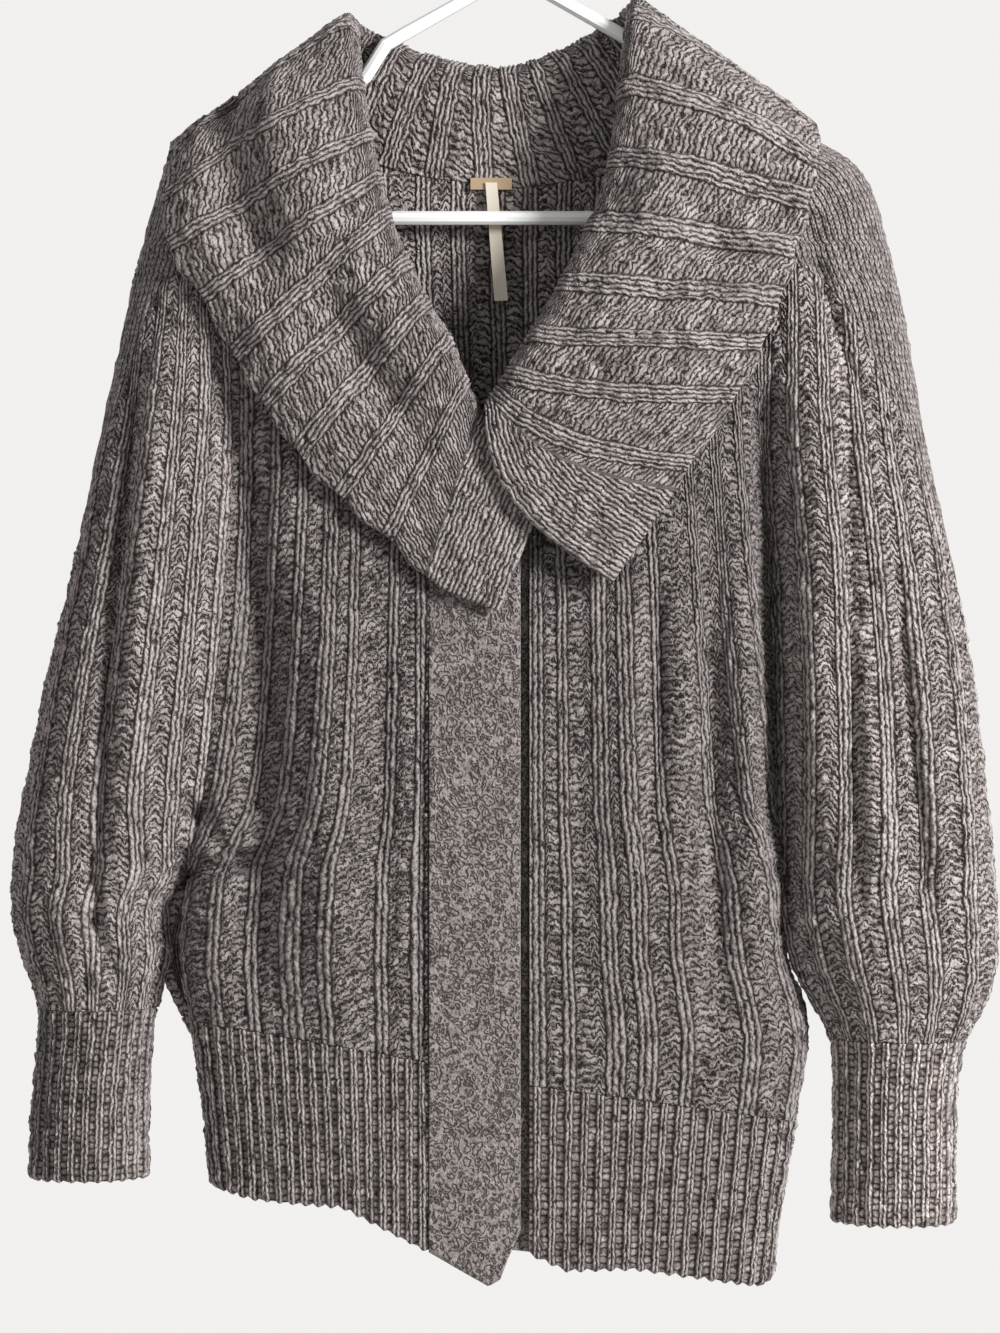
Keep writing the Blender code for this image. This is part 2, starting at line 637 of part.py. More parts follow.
def to_axis(side, points):
    """Level directions from points of a sleeve towards its middle."""
    rows = side["sleeve"]
    inner_x = np.array([read(SLEEVE_COLUMNS, rows, "inner_x", drop) for drop in points[:, 1]])
    outer_x = np.array([read(SLEEVE_COLUMNS, rows, "outer_x", drop) for drop in points[:, 1]])
    middle = (inner_x + outer_x) / 2
    return unit(np.stack((middle - points[:, 0], np.zeros(len(points)), -points[:, 2]), axis=1))


def press_round(points):
    """Presses the folds of the front and of the back into a piece that goes round a sleeve."""
    front = points[..., 2:] < 0
    return np.where(front, press_folds(points.copy(), FRONT), press_folds(points.copy(), BACK))


def sleeve_panel(name, side, surface, finish, rows=SLEEVE_ROWS, repeats=SLEEVE_RIBS):
    """Full sleeve: open towards the body above the underarm and closed below it."""
    shares = rib_shares(repeats)
    top = strip_start_drop(side, shares) + SEAM / 2
    bottom = np.full(len(shares), side["cuff_top"] - SEAM / 2)
    drops = panel_rows(top, bottom, rows)
    points = press_round(surface.at(shares[None, :], drops))
    points[:, 0, 0] += side["sign"] * SEAM / 2
    points[:, -1, 0] += side["sign"] * SEAM / 2
    inward = {"first_row": to_axis(side, points[0]),
              "first_column": seam_direction(side, drops[:, 0], FRONT, False),
              "last_column": seam_direction(side, drops[:, -1], BACK, False),
              "last_row": to_axis(side, points[-1])}
    relief = rib_relief(rows, repeats, flat_first=1, flat_last=1)
    return cloth_wall(name, points, side["sign"], finish, relief, inward)


def cuff_panel(name, side, surface, finish, ribs=20):
    """Ribbed cuff, a closed tube with one seam."""
    shares = np.linspace(0, 1, 2 * ribs + 1)
    levels = np.array((side["cuff_top"] + SEAM, side["cuff_top"] + 45, side["cuff_end"]))
    drops = np.broadcast_to(levels[:, None], (3, len(shares)))
    points = surface.at(shares[None, :], drops)
    inward = {"first_row": to_axis(side, points[0]),
              "first_column": (side["sign"], 0, 0), "last_column": (side["sign"], 0, 0)}
    return cloth_wall(name, points, side["sign"], finish, edge_rib_relief(3, len(shares)), inward)


def shoulder_edge(edge, side, corner_x):
    """Part of a panel's top edge from its neck corner out to the armhole."""
    run = edge if side["sign"] * (edge[-1, 0] - edge[0, 0]) > 0 else edge[::-1]
    corner = int(np.argmin(np.abs(run[:, 0] - corner_x)))
    return run[corner:]


def roof_stations(side, front_edge, back_edge):
    """Sections of the shoulder strip over the shoulder, from the neck to the armhole."""
    front_line = shoulder_edge(front_edge, side, side["corner"][0])
    shares = np.linspace(0, 1, len(front_line))
    back_line = evenly(shoulder_edge(back_edge, side, side["corner"][1]), shares)
    stations = []
    for share, front_point, back_point in zip(shares, front_line, back_line):
        ridge = (read(RIDGE_COLUMNS, side["ridge"], "x", share),
                 read(RIDGE_COLUMNS, side["ridge"], "drop", share), 0.0)
        half_front = bow(ridge, front_point, 2.3, 0)[::-1]
        half_back = bow(ridge, back_point, 2.3, 0)
        stations.append(evenly(np.concatenate((half_front, half_back[1:])), STRIP_CROSS))
    return stations


def shoulder_strip(name, side, sleeve, front_edge, back_edge, finish):
    """Plain strip over the shoulder that narrows to a point down the sleeve."""
    stations = roof_stations(side, front_edge, back_edge)[:-1]
    roof = len(stations)
    starts = [share for share in rib_shares(SLEEVE_RIBS) if share < 0.49]
    for start in starts:
        drop = strip_start_drop(side, np.array([start]))[0]
        stations.append(sleeve.at(start + (1 - 2 * start) * STRIP_CROSS, np.full(len(STRIP_CROSS), drop)))
    points = press_round(np.stack(stations))
    points[:, 0] = pull(points[:, 0], points[:, 1])
    points[:, -1] = pull(points[:, -1], points[:, -2])
    front_rim = np.concatenate((np.tile((0.0, 0.0, 1.0), (roof, 1)), to_axis(side, points[roof:, 0])))
    back_rim = np.concatenate((np.tile((0.0, 0.0, -1.0), (roof, 1)), to_axis(side, points[roof:, -1])))
    inward = {"first_column": front_rim, "last_column": back_rim, "first_row": around_shoulder()}
    return cloth_wall(name, points, side["sign"], finish, 0.0, inward, level_rims=False)


def around_shoulder():
    """Directions into the cloth round the neck end of a shoulder strip, front to back."""
    angles = np.radians(np.linspace(-90, 90, len(STRIP_CROSS)))
    return np.stack((np.zeros_like(angles), np.cos(angles), -np.sin(angles)), axis=1)


def pull(edge, towards):
    """Moves an edge a seam's width towards the next line of points."""
    return edge + unit(towards - edge) * 2 * SEAM


# ---------------------------------------------------------------- collar

def seam_line(points, inward):
    """Points on the inside face of an edge, each with its direction out through the cloth."""
    inward = np.broadcast_to(np.array(inward, float), points.shape)
    return np.concatenate((points + WALL * inward, -inward), axis=1)


def neckline_path(right_edge, left_edge, back_edge, right_band_top, left_band_top):
    """Seam line of the collar from the top of the right band to the top of the left one."""
    front_in = (0, 0, 1)
    right_end = roof_stations(SIDES["right"], right_edge, back_edge)[0]
    left_end = roof_stations(SIDES["left"], left_edge, back_edge)[0][::-1]
    back_neck = (back_edge[:, 0] > right_end[-1, 0] + 1) & (back_edge[:, 0] < left_end[0, 0] - 1)
    parts = [
        seam_line(right_band_top[::-1], front_in),
        seam_line(right_edge[right_edge[:, 0] > right_end[0, 0] + 1], front_in),
        seam_line(right_end, around_shoulder()),
        seam_line(back_edge[back_neck], (0, 0, -1)),
        seam_line(left_end, around_shoulder()[::-1]),
        seam_line(left_edge[left_edge[:, 0] < left_end[-1, 0] - 1][::-1], front_in),
        seam_line(left_band_top[left_band_top[:, 0] > -15][::-1], front_in),
    ]
    return np.concatenate(parts)


def collar_section(seam, station):
    """Section of the collar: up from the seam, round the fold and down the fall."""
    named = {name: station[k] for k, name in enumerate(COLLAR_COLUMNS)}
    roll = np.array((named["roll_x"], named["roll_drop"], named["roll_y"]))
    outer = np.array((named["outer_x"], named["outer_drop"], named["outer_y"]))
    turn = math.radians(named["face"])
    face = np.array((0.0, -math.cos(turn), math.sin(turn)))
    down = outer - roll
    down -= face * float(down @ face)
    down = unit(down)
    radius = named["radius"]
    middle = roll + down * radius
    angles = np.linspace(-math.pi / 2, math.pi / 2, FOLD_STEPS + 1)[:, None]
    fold = middle - radius * np.cos(angles) * down + radius * np.sin(angles) * face
    steps = np.linspace(0, 1, 13)[:, None]
    stand_pull = fold[0] + down * 0.1 * np.linalg.norm(fold[0] - seam)
    stand = (1 - steps) ** 2 * seam + 2 * steps * (1 - steps) * stand_pull + steps**2 * fold[0]
    fall_pull = (fold[-1] + outer) / 2 + face * 2 * named["bulge"]
    fall = (1 - steps) ** 2 * fold[-1] + 2 * steps * (1 - steps) * fall_pull + steps**2 * outer
    stand = evenly(stand, np.linspace(0, 1, STAND_STEPS + 1))[:-1]
    fall = evenly(fall, np.linspace(0, 1, FALL_STEPS + 1))[1:]
    section = np.concatenate((stand, fold, fall))
    reach = np.clip((section - roll) @ down / np.linalg.norm(outer - roll), 0, 1)
    outside = np.clip((np.arange(len(reach)) - STAND_STEPS) / FOLD_STEPS, 0, 1)
    drawn = named["sweep"] * np.sin(math.pi * reach**0.8) * outside
    return section + np.outer(drawn, np.cross(down, face))


def lay_on(points, facing, pieces):
    """Moves the collar's fall out along its facing until it clears the pieces below it."""
    trees = []
    for piece in pieces:
        verts = [vert.co for vert in piece.data.vertices]
        trees.append(BVHTree.FromPolygons(verts, [tuple(poly.vertices) for poly in piece.data.polygons]))
    for i, way in enumerate(facing):
        ray = Vector((way[0], way[2], -way[1]))
        for j in range(STAND_STEPS + FOLD_STEPS, points.shape[1]):
            x, drop, y = points[i, j] * MM
            start = Vector((x, y, -drop)) + ray * 0.08
            reach = [tree.ray_cast(start, -ray, 0.12)[3] for tree in trees]
            near = min([distance for distance in reach if distance is not None], default=1.0)
            points[i, j] += way * max(0.0, WALL + REST - (near - 0.08) / MM)
    return points


def collar_piece(finish, path, pieces, repeats=23):
    """Wide shawl collar in one piece, folded over along its roll line."""
    axes = ("x", "drop", "y")
    rolls = np.stack([column(COLLAR_COLUMNS, COLLAR, "roll_" + axis) for axis in axes], axis=1)
    outers = np.stack([column(COLLAR_COLUMNS, COLLAR, "outer_" + axis) for axis in axes], axis=1)
    steps = np.linalg.norm(np.diff((rolls + outers) / 2, axis=0), axis=1)
    along = np.concatenate(([0], np.cumsum(steps))) / steps.sum()
    places = rib_shares(repeats)
    seams = evenly(path, smooth(along, column(COLLAR_COLUMNS, COLLAR, "seam"), places))
    points = []
    for seam, place in zip(seams[:, :3], places):
        station = [smooth(along, column(COLLAR_COLUMNS, COLLAR, name), place) for name in COLLAR_COLUMNS]
        points.append(collar_section(seam, station))
    points = press_folds(np.stack(points), COLLAR_FACE)
    points[:, 0] = pull(points[:, 0], points[:, 1])
    turn = np.radians(smooth(along, column(COLLAR_COLUMNS, COLLAR, "face"), places))
    facing = np.stack((np.zeros_like(turn), -np.cos(turn), np.sin(turn)), axis=1)
    points = lay_on(points, facing, pieces)
    ribs = rib_relief(points.shape[1], repeats, COLLAR_RIB_HEIGHT).T
    plain = (places < COLLAR_PLAIN) | (places > 1 - COLLAR_PLAIN)
    ribs = np.where(plain[:, None], 0.0, ribs)
    return cloth_wall("collar", points, 1, finish, ribs, {"first_column": unit(seams[:, 3:])})


# ---------------------------------------------------------------- neck label

def thin_plate(name, outline, y_near, finish):
    """Flat piece of label from its outline of x and drop, with its near side at one depth."""
    near = to_world(np.array([(x, drop, y_near) for x, drop in outline], float))
    far = to_world(np.array([(x, drop, y_near + LABEL) for x, drop in outline], float))
    count = len(outline)
    faces = [tuple(range(count)), tuple(range(2 * count - 1, count - 1, -1))]
    for i in range(count):
        j = (i + 1) % count
        faces.append((j, i, count + i, count + j))
    verts = np.concatenate((near, far))
    if outward_flips(verts, faces):
        faces = [face[::-1] for face in faces]
    return finish_mesh(name, verts, faces, finish)


# ---------------------------------------------------------------- hanger

def round_tube(name, path, radius, finish, closed=False, sides=10):
    """Tube of plastic along a path of points, with filled ends or closed on itself."""
    curve = bpy.data.curves.new(name, "CURVE")
    curve.dimensions = "3D"
    curve.bevel_depth = radius * MM
    curve.bevel_resolution = sides // 2 - 2
    curve.use_fill_caps = not closed
    spline = curve.splines.new("POLY")
    world = to_world(np.array(path, float))
    spline.points.add(len(world) - 1)
    for point, place in zip(spline.points, world):
        point.co = (*place, 1.0)
    spline.use_cyclic_u = closed
    curve.materials.append(finish)
    tube = bpy.data.objects.new(name, curve)
    bpy.context.scene.collection.objects.link(tube)
    return tube


def hanger_path():
    """Closed line of the hanger: arms with a strap notch each, round ends and a lower bar."""
    arm = [(0, 74), (65, 110.5), (76, 117), (88, 136), (100, 145), (130, 162), (152, 175)]
    end_radius = (HANGER_BAR_DROP - arm[-1][1] - 4) / 1.88
    end_centre = (arm[-1][0] + 5, HANGER_BAR_DROP - end_radius)
    end = []
    for turn in np.radians(np.linspace(-50, 90, 7)):
        end.append((end_centre[0] + end_radius * math.cos(turn), end_centre[1] + end_radius * math.sin(turn)))
    half = arm[1:] + end
    right = [(x, drop, 0.0) for x, drop in half]
    left = [(-x, drop, 0.0) for x, drop in half[::-1]]
    return [(0.0, arm[0][1], 0.0)] + right + left


def hook_path():
    """Open line of the hook, from its stem up and round to its tip."""
    centre_drop = HOOK_RADIUS - TUBE
    path = [(0.0, 69.6, 0.0), (0.0, 58.0, 0.0), (4.0, 50.0, 0.0)]
    for angle in np.radians(np.linspace(58, -190, 15)):
        path.append((HOOK_RADIUS * math.cos(angle), centre_drop + HOOK_RADIUS * math.sin(angle), 0.0))
    return path


# ---------------------------------------------------------------- build

def clear_scene():
    """Removes what the scene holds."""
    for item in list(bpy.data.objects):
        bpy.data.objects.remove(item, do_unlink=True)


def build():
    """Builds every piece of the cardigan and the hanger it hangs on."""
    clear_scene()
    knit = {name: material(name, CLOTH, 0.95) for name in
            ("body_knit", "sleeve_knit", "edge_rib_knit", "band_knit", "strip_knit", "collar_knit")}
    back = back_surface()
    back_points = back_grid(back)
    under_collar = [back_panel(back_points, knit["body_knit"])]
    edges = {}
    for name, side in SIDES.items():
        front = front_surface(side)
        points = front_grid(side, front)
        under_collar.append(front_panel("front_" + name, side, points, knit["body_knit"]))
        edges[name] = points[0]
        sleeve = Levels(lambda drop: sleeve_ring(side, drop), 240, 836, samples=161)
        under_collar.append(sleeve_panel("sleeve_" + name, side, sleeve, knit["sleeve_knit"]))
        cuff_panel("cuff_" + name, side, sleeve, knit["edge_rib_knit"])
        under_collar.append(shoulder_strip("shoulder_strip_" + name, side, sleeve, points[0], back_points[0],
                                           knit["strip_knit"]))
        inward = {"last_column": (-side["sign"], 0, 0), "first_column": (0, 0, 1)}
        hem_panel("hem_front_" + name, front, side["hem"], FRONT, side["sign"], knit["edge_rib_knit"],
                  18, inward, (side["sign"] * SEAM / 2, 0))
    hem_panel("hem_back", back, HEM_BACK, BACK, -1, knit["edge_rib_knit"], 42,
              {"first_column": (1, 0, 0), "last_column": (-1, 0, 0)}, (0, 0))
    right_band = band_grid(-49.0, BAND_TOP_RIGHT, BAND_BOTTOM_RIGHT, -1.0)
    left_band = band_grid(-44.0, BAND_TOP_LEFT, BAND_BOTTOM_LEFT, 6.0)
    under_collar.append(band("band_right", right_band, knit["band_knit"]))
    under_collar.append(band("band_left", left_band, knit["band_knit"]))
    path = neckline_path(edges["right"], edges["left"], back_points[0], right_band[0], left_band[0])
    collar_piece(knit["collar_knit"], path, under_collar)
    thin_plate("neck_tab", ((-25, 195), (0, 195), (0, 202), (-25, 202)), 10.7, material("tan_tab", TAN, 0.7))
    thin_plate("neck_tape", ((-16, 198), (-9, 198), (-2.4, 269), (-10.6, 269.5)), 9.2,
               material("cream_tape", CREAM, 0.8))
    white = material("white_plastic", PLASTIC_WHITE, 0.35)
    round_tube("hanger_frame", hanger_path(), TUBE, white, closed=True)
    round_tube("hanger_hook", hook_path(), TUBE, white)


build()
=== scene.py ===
# %% [markdown]
# # Shawl collar cardigan on a clothes hanger
# The cardigan is heavy wool knit, hanging on a plastic tube hanger. Its solids were made
# first, one for each piece that a maker would sew on. This script dresses them: each piece
# is knitted again as a fine wall on the same sections, and the stitches are raised on it.

import math

import bpy
import numpy as np
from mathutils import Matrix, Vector
from mathutils.bvhtree import BVHTree


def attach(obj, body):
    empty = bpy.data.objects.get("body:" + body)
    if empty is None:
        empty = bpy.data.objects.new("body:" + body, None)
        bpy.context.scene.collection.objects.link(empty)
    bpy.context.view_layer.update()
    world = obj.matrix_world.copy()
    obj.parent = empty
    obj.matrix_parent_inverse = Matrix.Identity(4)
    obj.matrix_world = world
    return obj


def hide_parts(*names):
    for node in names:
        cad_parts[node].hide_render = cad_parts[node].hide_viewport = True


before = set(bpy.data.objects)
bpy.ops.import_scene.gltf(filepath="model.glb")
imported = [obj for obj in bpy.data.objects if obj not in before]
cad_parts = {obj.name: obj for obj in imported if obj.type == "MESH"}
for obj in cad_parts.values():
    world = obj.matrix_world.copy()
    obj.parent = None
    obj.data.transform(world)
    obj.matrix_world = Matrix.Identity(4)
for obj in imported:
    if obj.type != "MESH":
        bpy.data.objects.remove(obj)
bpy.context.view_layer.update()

# %% [markdown]
# ## Sizes
# A garment has few true dimensions, so they come first. Lengths are in millimetres, and
# "drop" is measured down from the rest of the hook. The wearer's right side is at minus x.

# %% Sizes
MM = 0.001                 # metres in a millimetre
SEAM = 0.02                # space between two pieces that are sewn together
WALL = 4.6                 # thickness of the knit
BAND_WIDTH = 54.0          # width of a front band
UNDERARM = 618             # level at which the sleeves part from the body
BODY_LEVELS = (125, 880)   # highest and lowest section that is kept of the body
SLEEVE_LEVELS = (240, 836)
FRONT = -1
BACK = 1
COLLAR_FACE = -2           # folds of the collar's fall, pressed the same way as the front's

# %% [markdown]
# ## Sections of the hanging garment
# Cloth that hangs keeps a smooth section at each level: flat over the front, tight round
# the side seam. Each row of a table is a level, an edge or a fold, so that the whole
# drape can be read and changed in a few lines. The solids use the same sections.

# %% Body tables
# Half of the body at each level: the outermost point is the armhole seam above the
# underarm and the side seam below it. Depths are those of the flat front and back.
BODY_COLUMNS = ("drop", "outer_x", "outer_front", "outer_back", "front", "back")
BODY_RIGHT = (
    (125, -172, -20, 14, -12, 10),
    (170, -172, -24, 18, -20, 15),
    (210, -172, -27, 22, -25, 20),
    (240, -171, -30, 23, -28, 24),
    (330, -166, -33, 27, -34, 28),
    (450, -171, -33, 29, -37, 30),
    (550, -181, -26, 24, -38, 31),
    (590, -188, -10, 12, -38, 31),
    (611, -192, 1, 3, -38, 31),
    (660, -197, 1.85, 2.15, -39, 31),
    (707, -190, 1.85, 2.15, -40, 32),
    (770, -182, 1.85, 2.15, -41, 33),
    (870, -174, 1.85, 2.15, -42, 34),
)
BODY_LEFT = (
    (125, 152, -20, 14, -12, 10),
    (170, 152, -23, 18, -20, 15),
    (210, 151, -26, 22, -25, 20),
    (240, 150, -28, 23, -28, 24),
    (330, 149, -25, 26, -34, 28),
    (450, 157, -17, 24, -37, 30),
    (550, 160, -9, 21, -38, 31),
    (600, 161, -1, 14, -38, 31),
    (628, 161, 7, 9, -38, 31),
    (660, 163, 7.85, 8.15, -38, 31),
    (690, 172, 7.85, 8.15, -39, 32),
    (712, 176, 7.85, 8.15, -40, 32),
    (755, 170, 7.85, 8.15, -40, 33),
    (827, 158, 7.85, 8.15, -42, 34),
    (880, 152, 7.85, 8.15, -42, 34),
)

# %% [markdown]
# ## Sections of the sleeves
# The sleeves are tables of the same kind, wide at the armhole and narrow at the cuff. The
# two differ a little, because the garment doesn't hang evenly.

# %% Sleeve tables
# Sleeve at each level. Above the underarm its inner edge is the armhole seam; "strip"
# is the share of the half section that the plain shoulder strip takes.
SLEEVE_COLUMNS = ("drop", "inner_x", "inner_front", "inner_back", "outer_x", "outer_y",
                  "front", "back", "strip")
SLEEVE_RIGHT = (
    (240, -171, -30, 23, -221, 0, 0, 2, 1.00),
    (262, -170, -31, 24, -227, 0, 1, 3, 0.50),
    (288, -168, -32, 26, -232, 0, 3, 5, 0.36),
    (330, -166, -33, 27, -241, 0, 6, 7, 0.26),
    (388, -168, -33, 29, -253, -1, 9, 9, 0.14),
    (430, -170, -33, 29, -261, -1, 11, 10, 0.00),
    (502, -177, -30, 27, -278, -2, 15, 12, 0.00),
    (560, -182, -24, 22, -289, -3, 20, 16, 0.00),
    (590, -188, -10, 12, -295, -4, 33, 22, 0.00),
    (611, -192, 1, 3, -297, -4, 42, 28, 0.00),
    (633, -207, 1.85, 2.15, -297.5, -4, 41, 28, 0.00),
    (660, -205, 1.85, 2.15, -293, -3, 37, 27, 0.00),
    (682, -211, 0.85, 1.15, -284, -2, 30, 24, 0.00),
    (700, -214, -0.15, 0.15, -282, 0, 25, 21, 0.00),
    (749, -217.5, -0.15, 0.15, -286, 0, 23, 20, 0.00),
    (800, -217.5, -0.15, 0.15, -288.5, 0, 22, 20, 0.00),
)
SLEEVE_LEFT = (
    (240, 150, -28, 23, 225, 0, 0, 2, 1.00),
    (264, 150, -27.6, 23.5, 231, 0, 6, 4, 0.60),
    (288, 149.5, -27, 24, 236, 0, 10, 6, 0.46),
    (330, 149, -25, 26, 242, -2, 16, 8, 0.31),
    (378, 151, -22, 26, 251, -3, 21, 10, 0.16),
    (426, 155, -19, 25, 262, -4, 26, 12, 0.07),
    (462, 157, -16, 24, 268, -5, 29, 13, 0.00),
    (512, 159, -12, 22, 276, -6, 33, 15, 0.00),
    (560, 160, -8, 20, 281, -7, 38, 17, 0.00),
    (600, 161, -1, 14, 285, -8, 43, 22, 0.00),
    (628, 161, -3, -1, 287, -9, 44, 24, 0.00),
    (655, 164, -9.15, -8.85, 288, -9, 39, 24, 0.00),
    (676, 171, -9.15, -8.85, 286, -9, 34, 23, 0.00),
    (698, 184, -8.15, -7.85, 277, -8, 28, 22, 0.00),
    (716, 191, -6.15, -5.85, 268, -6, 25, 21, 0.00),
    (758, 192, -4.15, -3.85, 264, -4, 24, 20, 0.00),
    (830, 190, -4.15, -3.85, 264, -4, 23, 20, 0.00),
)

# %% [markdown]
# ## Edges of the panels
# Necklines, hems, ends of bands and shoulder lines are curves across the garment. They cut
# the panels out of the sections, as a maker's pattern does.

# %% Tables of edges
# Top edge of each body panel: the neckline, then the seam of the shoulder strip.
NECK_COLUMNS = ("x", "drop")
NECK_FRONT_RIGHT = ((-172, 240), (-142, 213), (-112, 178), (-104, 208), (-94, 240), (-72, 284),
                    (-49, 318))
NECK_FRONT_LEFT = ((150, 240), (125, 205), (97, 166), (80, 204), (65, 237), (44, 280), (22, 318),
                   (10, 337))
NECK_BACK = ((-172, 240), (-140, 211), (-107, 178), (-60, 193), (0, 201), (60, 193), (95, 172),
             (120, 203), (150, 240))
BAND_TOP_RIGHT = ((-49, 318), (-31, 352), (-13, 382), (5, 404))
BAND_TOP_LEFT = ((-44, 386), (-14, 368), (10, 337))

# Where the hem rib starts and ends below each panel, from one side to the other.
HEM_COLUMNS = ("x", "top", "bottom")
HEM_RIGHT = ((-192, 700, 796), (-154, 705, 804), (-100, 713, 808), (-49, 723, 834))
HEM_LEFT = ((10, 736, 835), (32, 739, 845), (71, 744, 844), (110, 750, 850), (148, 756, 857),
            (168, 761, 852))
HEM_BACK = ((-192, 700, 796), (-100, 713, 810), (0, 730, 828), (100, 747, 843), (168, 761, 852))
BAND_BOTTOM_RIGHT = ((-49, 834), (-30, 845), (-14, 854), (-7, 850), (-3, 839), (5, 821))
BAND_BOTTOM_LEFT = ((-44, 829), (10, 835))

# Shoulder line of the plain strip, from the neck out to the sleeve.
RIDGE_COLUMNS = ("share", "x", "drop")
RIDGE_RIGHT = ((0.0, -112, 137), (0.3, -150, 157), (0.6, -198, 183), (0.75, -208, 194),
               (0.88, -214, 213), (1.0, -221, 240))
RIDGE_LEFT = ((0.0, 102, 131), (0.3, 145, 156), (0.6, 186, 178), (0.75, 206, 191),
              (0.88, 217, 210), (1.0, 225, 240))

# %% [markdown]
# ## Folds of the cloth
# Wool this thick falls in a few broad folds and some narrower creases, mostly down the body
# and along the sleeves. A line with a width and a depth is enough to state each.

# %% Folds
# Folds: soft troughs (depth above 0) and ridges (below 0) pressed into each face. Each row is
# x and drop at the top, x and drop at the end, width and depth. On each face the broad folds of
# the solids come first, and then narrower creases in the cloth itself.
FOLDS = {
    FRONT: (
        (-229, 330, -284, 650, 9, -4), (-204, 295, -252, 640, 11, -7), (-172, 300, -146, 500, 13, 6),
        (-148, 440, -152, 690, 13, 8), (-112, 430, -106, 700, 12, -4), (-78, 440, -72, 720, 9, 4),
        (-205, 560, -160, 606, 8, 8), (15, 310, 16, 440, 13, 6), (36, 440, 40, 720, 10, 3),
        (66, 450, 70, 740, 11, -3), (86, 420, 84, 620, 9, 5), (118, 380, 120, 730, 12, 9),
        (144, 380, 148, 700, 11, -4), (184, 450, 208, 630, 9, 5), (205, 400, 238, 650, 9, 7),
        (178, 300, 182, 600, 10, -4), (152, 320, 158, 650, 9, 20), (114, 430, 122, 690, 8, 4),
        (85, 440, 86, 560, 7, 4), (134, 430, 150, 690, 7, -4), (-219, 300, -252, 690, 6, 14),
        (-203, 320, -232, 660, 10, -6), (-168, 290, -148, 520, 16, 9), (-148, 430, -152, 720, 17, 9),
        (-108, 420, -102, 760, 16, -5), (-54, 470, -54, 780, 4, 4), (172, 220, 205, 340, 5, 6),
        (196, 330, 206, 650, 5, 7), (222, 400, 248, 660, 5, 7), (-208, 620, -146, 602, 7, 15),
        (-220, 598, -146, 580, 10, -10), (-266, 622, -244, 676, 9, -6), (-250, 632, -230, 684, 6, 8),
    ),
    BACK: (
        (-150, 330, -162, 640, 13, 8), (-95, 360, -90, 700, 14, 6), (-45, 300, -38, 690, 12, 4),
        (30, 320, 36, 700, 13, 5), (92, 340, 98, 690, 13, 6), (132, 330, 142, 640, 12, 7),
        (-214, 330, -240, 620, 12, 7), (200, 340, 222, 620, 12, 7),
    ),
    COLLAR_FACE: (
        (-174, 128, -140, 272, 9, 6), (-146, 130, -118, 290, 14, -3), (96, 150, 66, 330, 16, -2),
        (84, 236, 172, 186, 11, 4), (60, 296, 150, 258, 10, 4), (-172, 140, -136, 254, 11, 6),
        (-134, 246, -48, 366, 11, 6), (-142, 130, -106, 240, 13, -5), (-100, 234, -26, 338, 12, -5),
        (-190, 150, -166, 264, 9, -3), (-166, 262, -86, 372, 9, -3), (66, 286, 176, 204, 10, 7),
        (60, 222, 160, 160, 16, -4), (56, 328, 150, 262, 14, -4),
    ),
}

# %% [markdown]
# ## Sections of the collar
# The collar turns over all along its length, so it is stated at stations round the neck and
# not at levels.

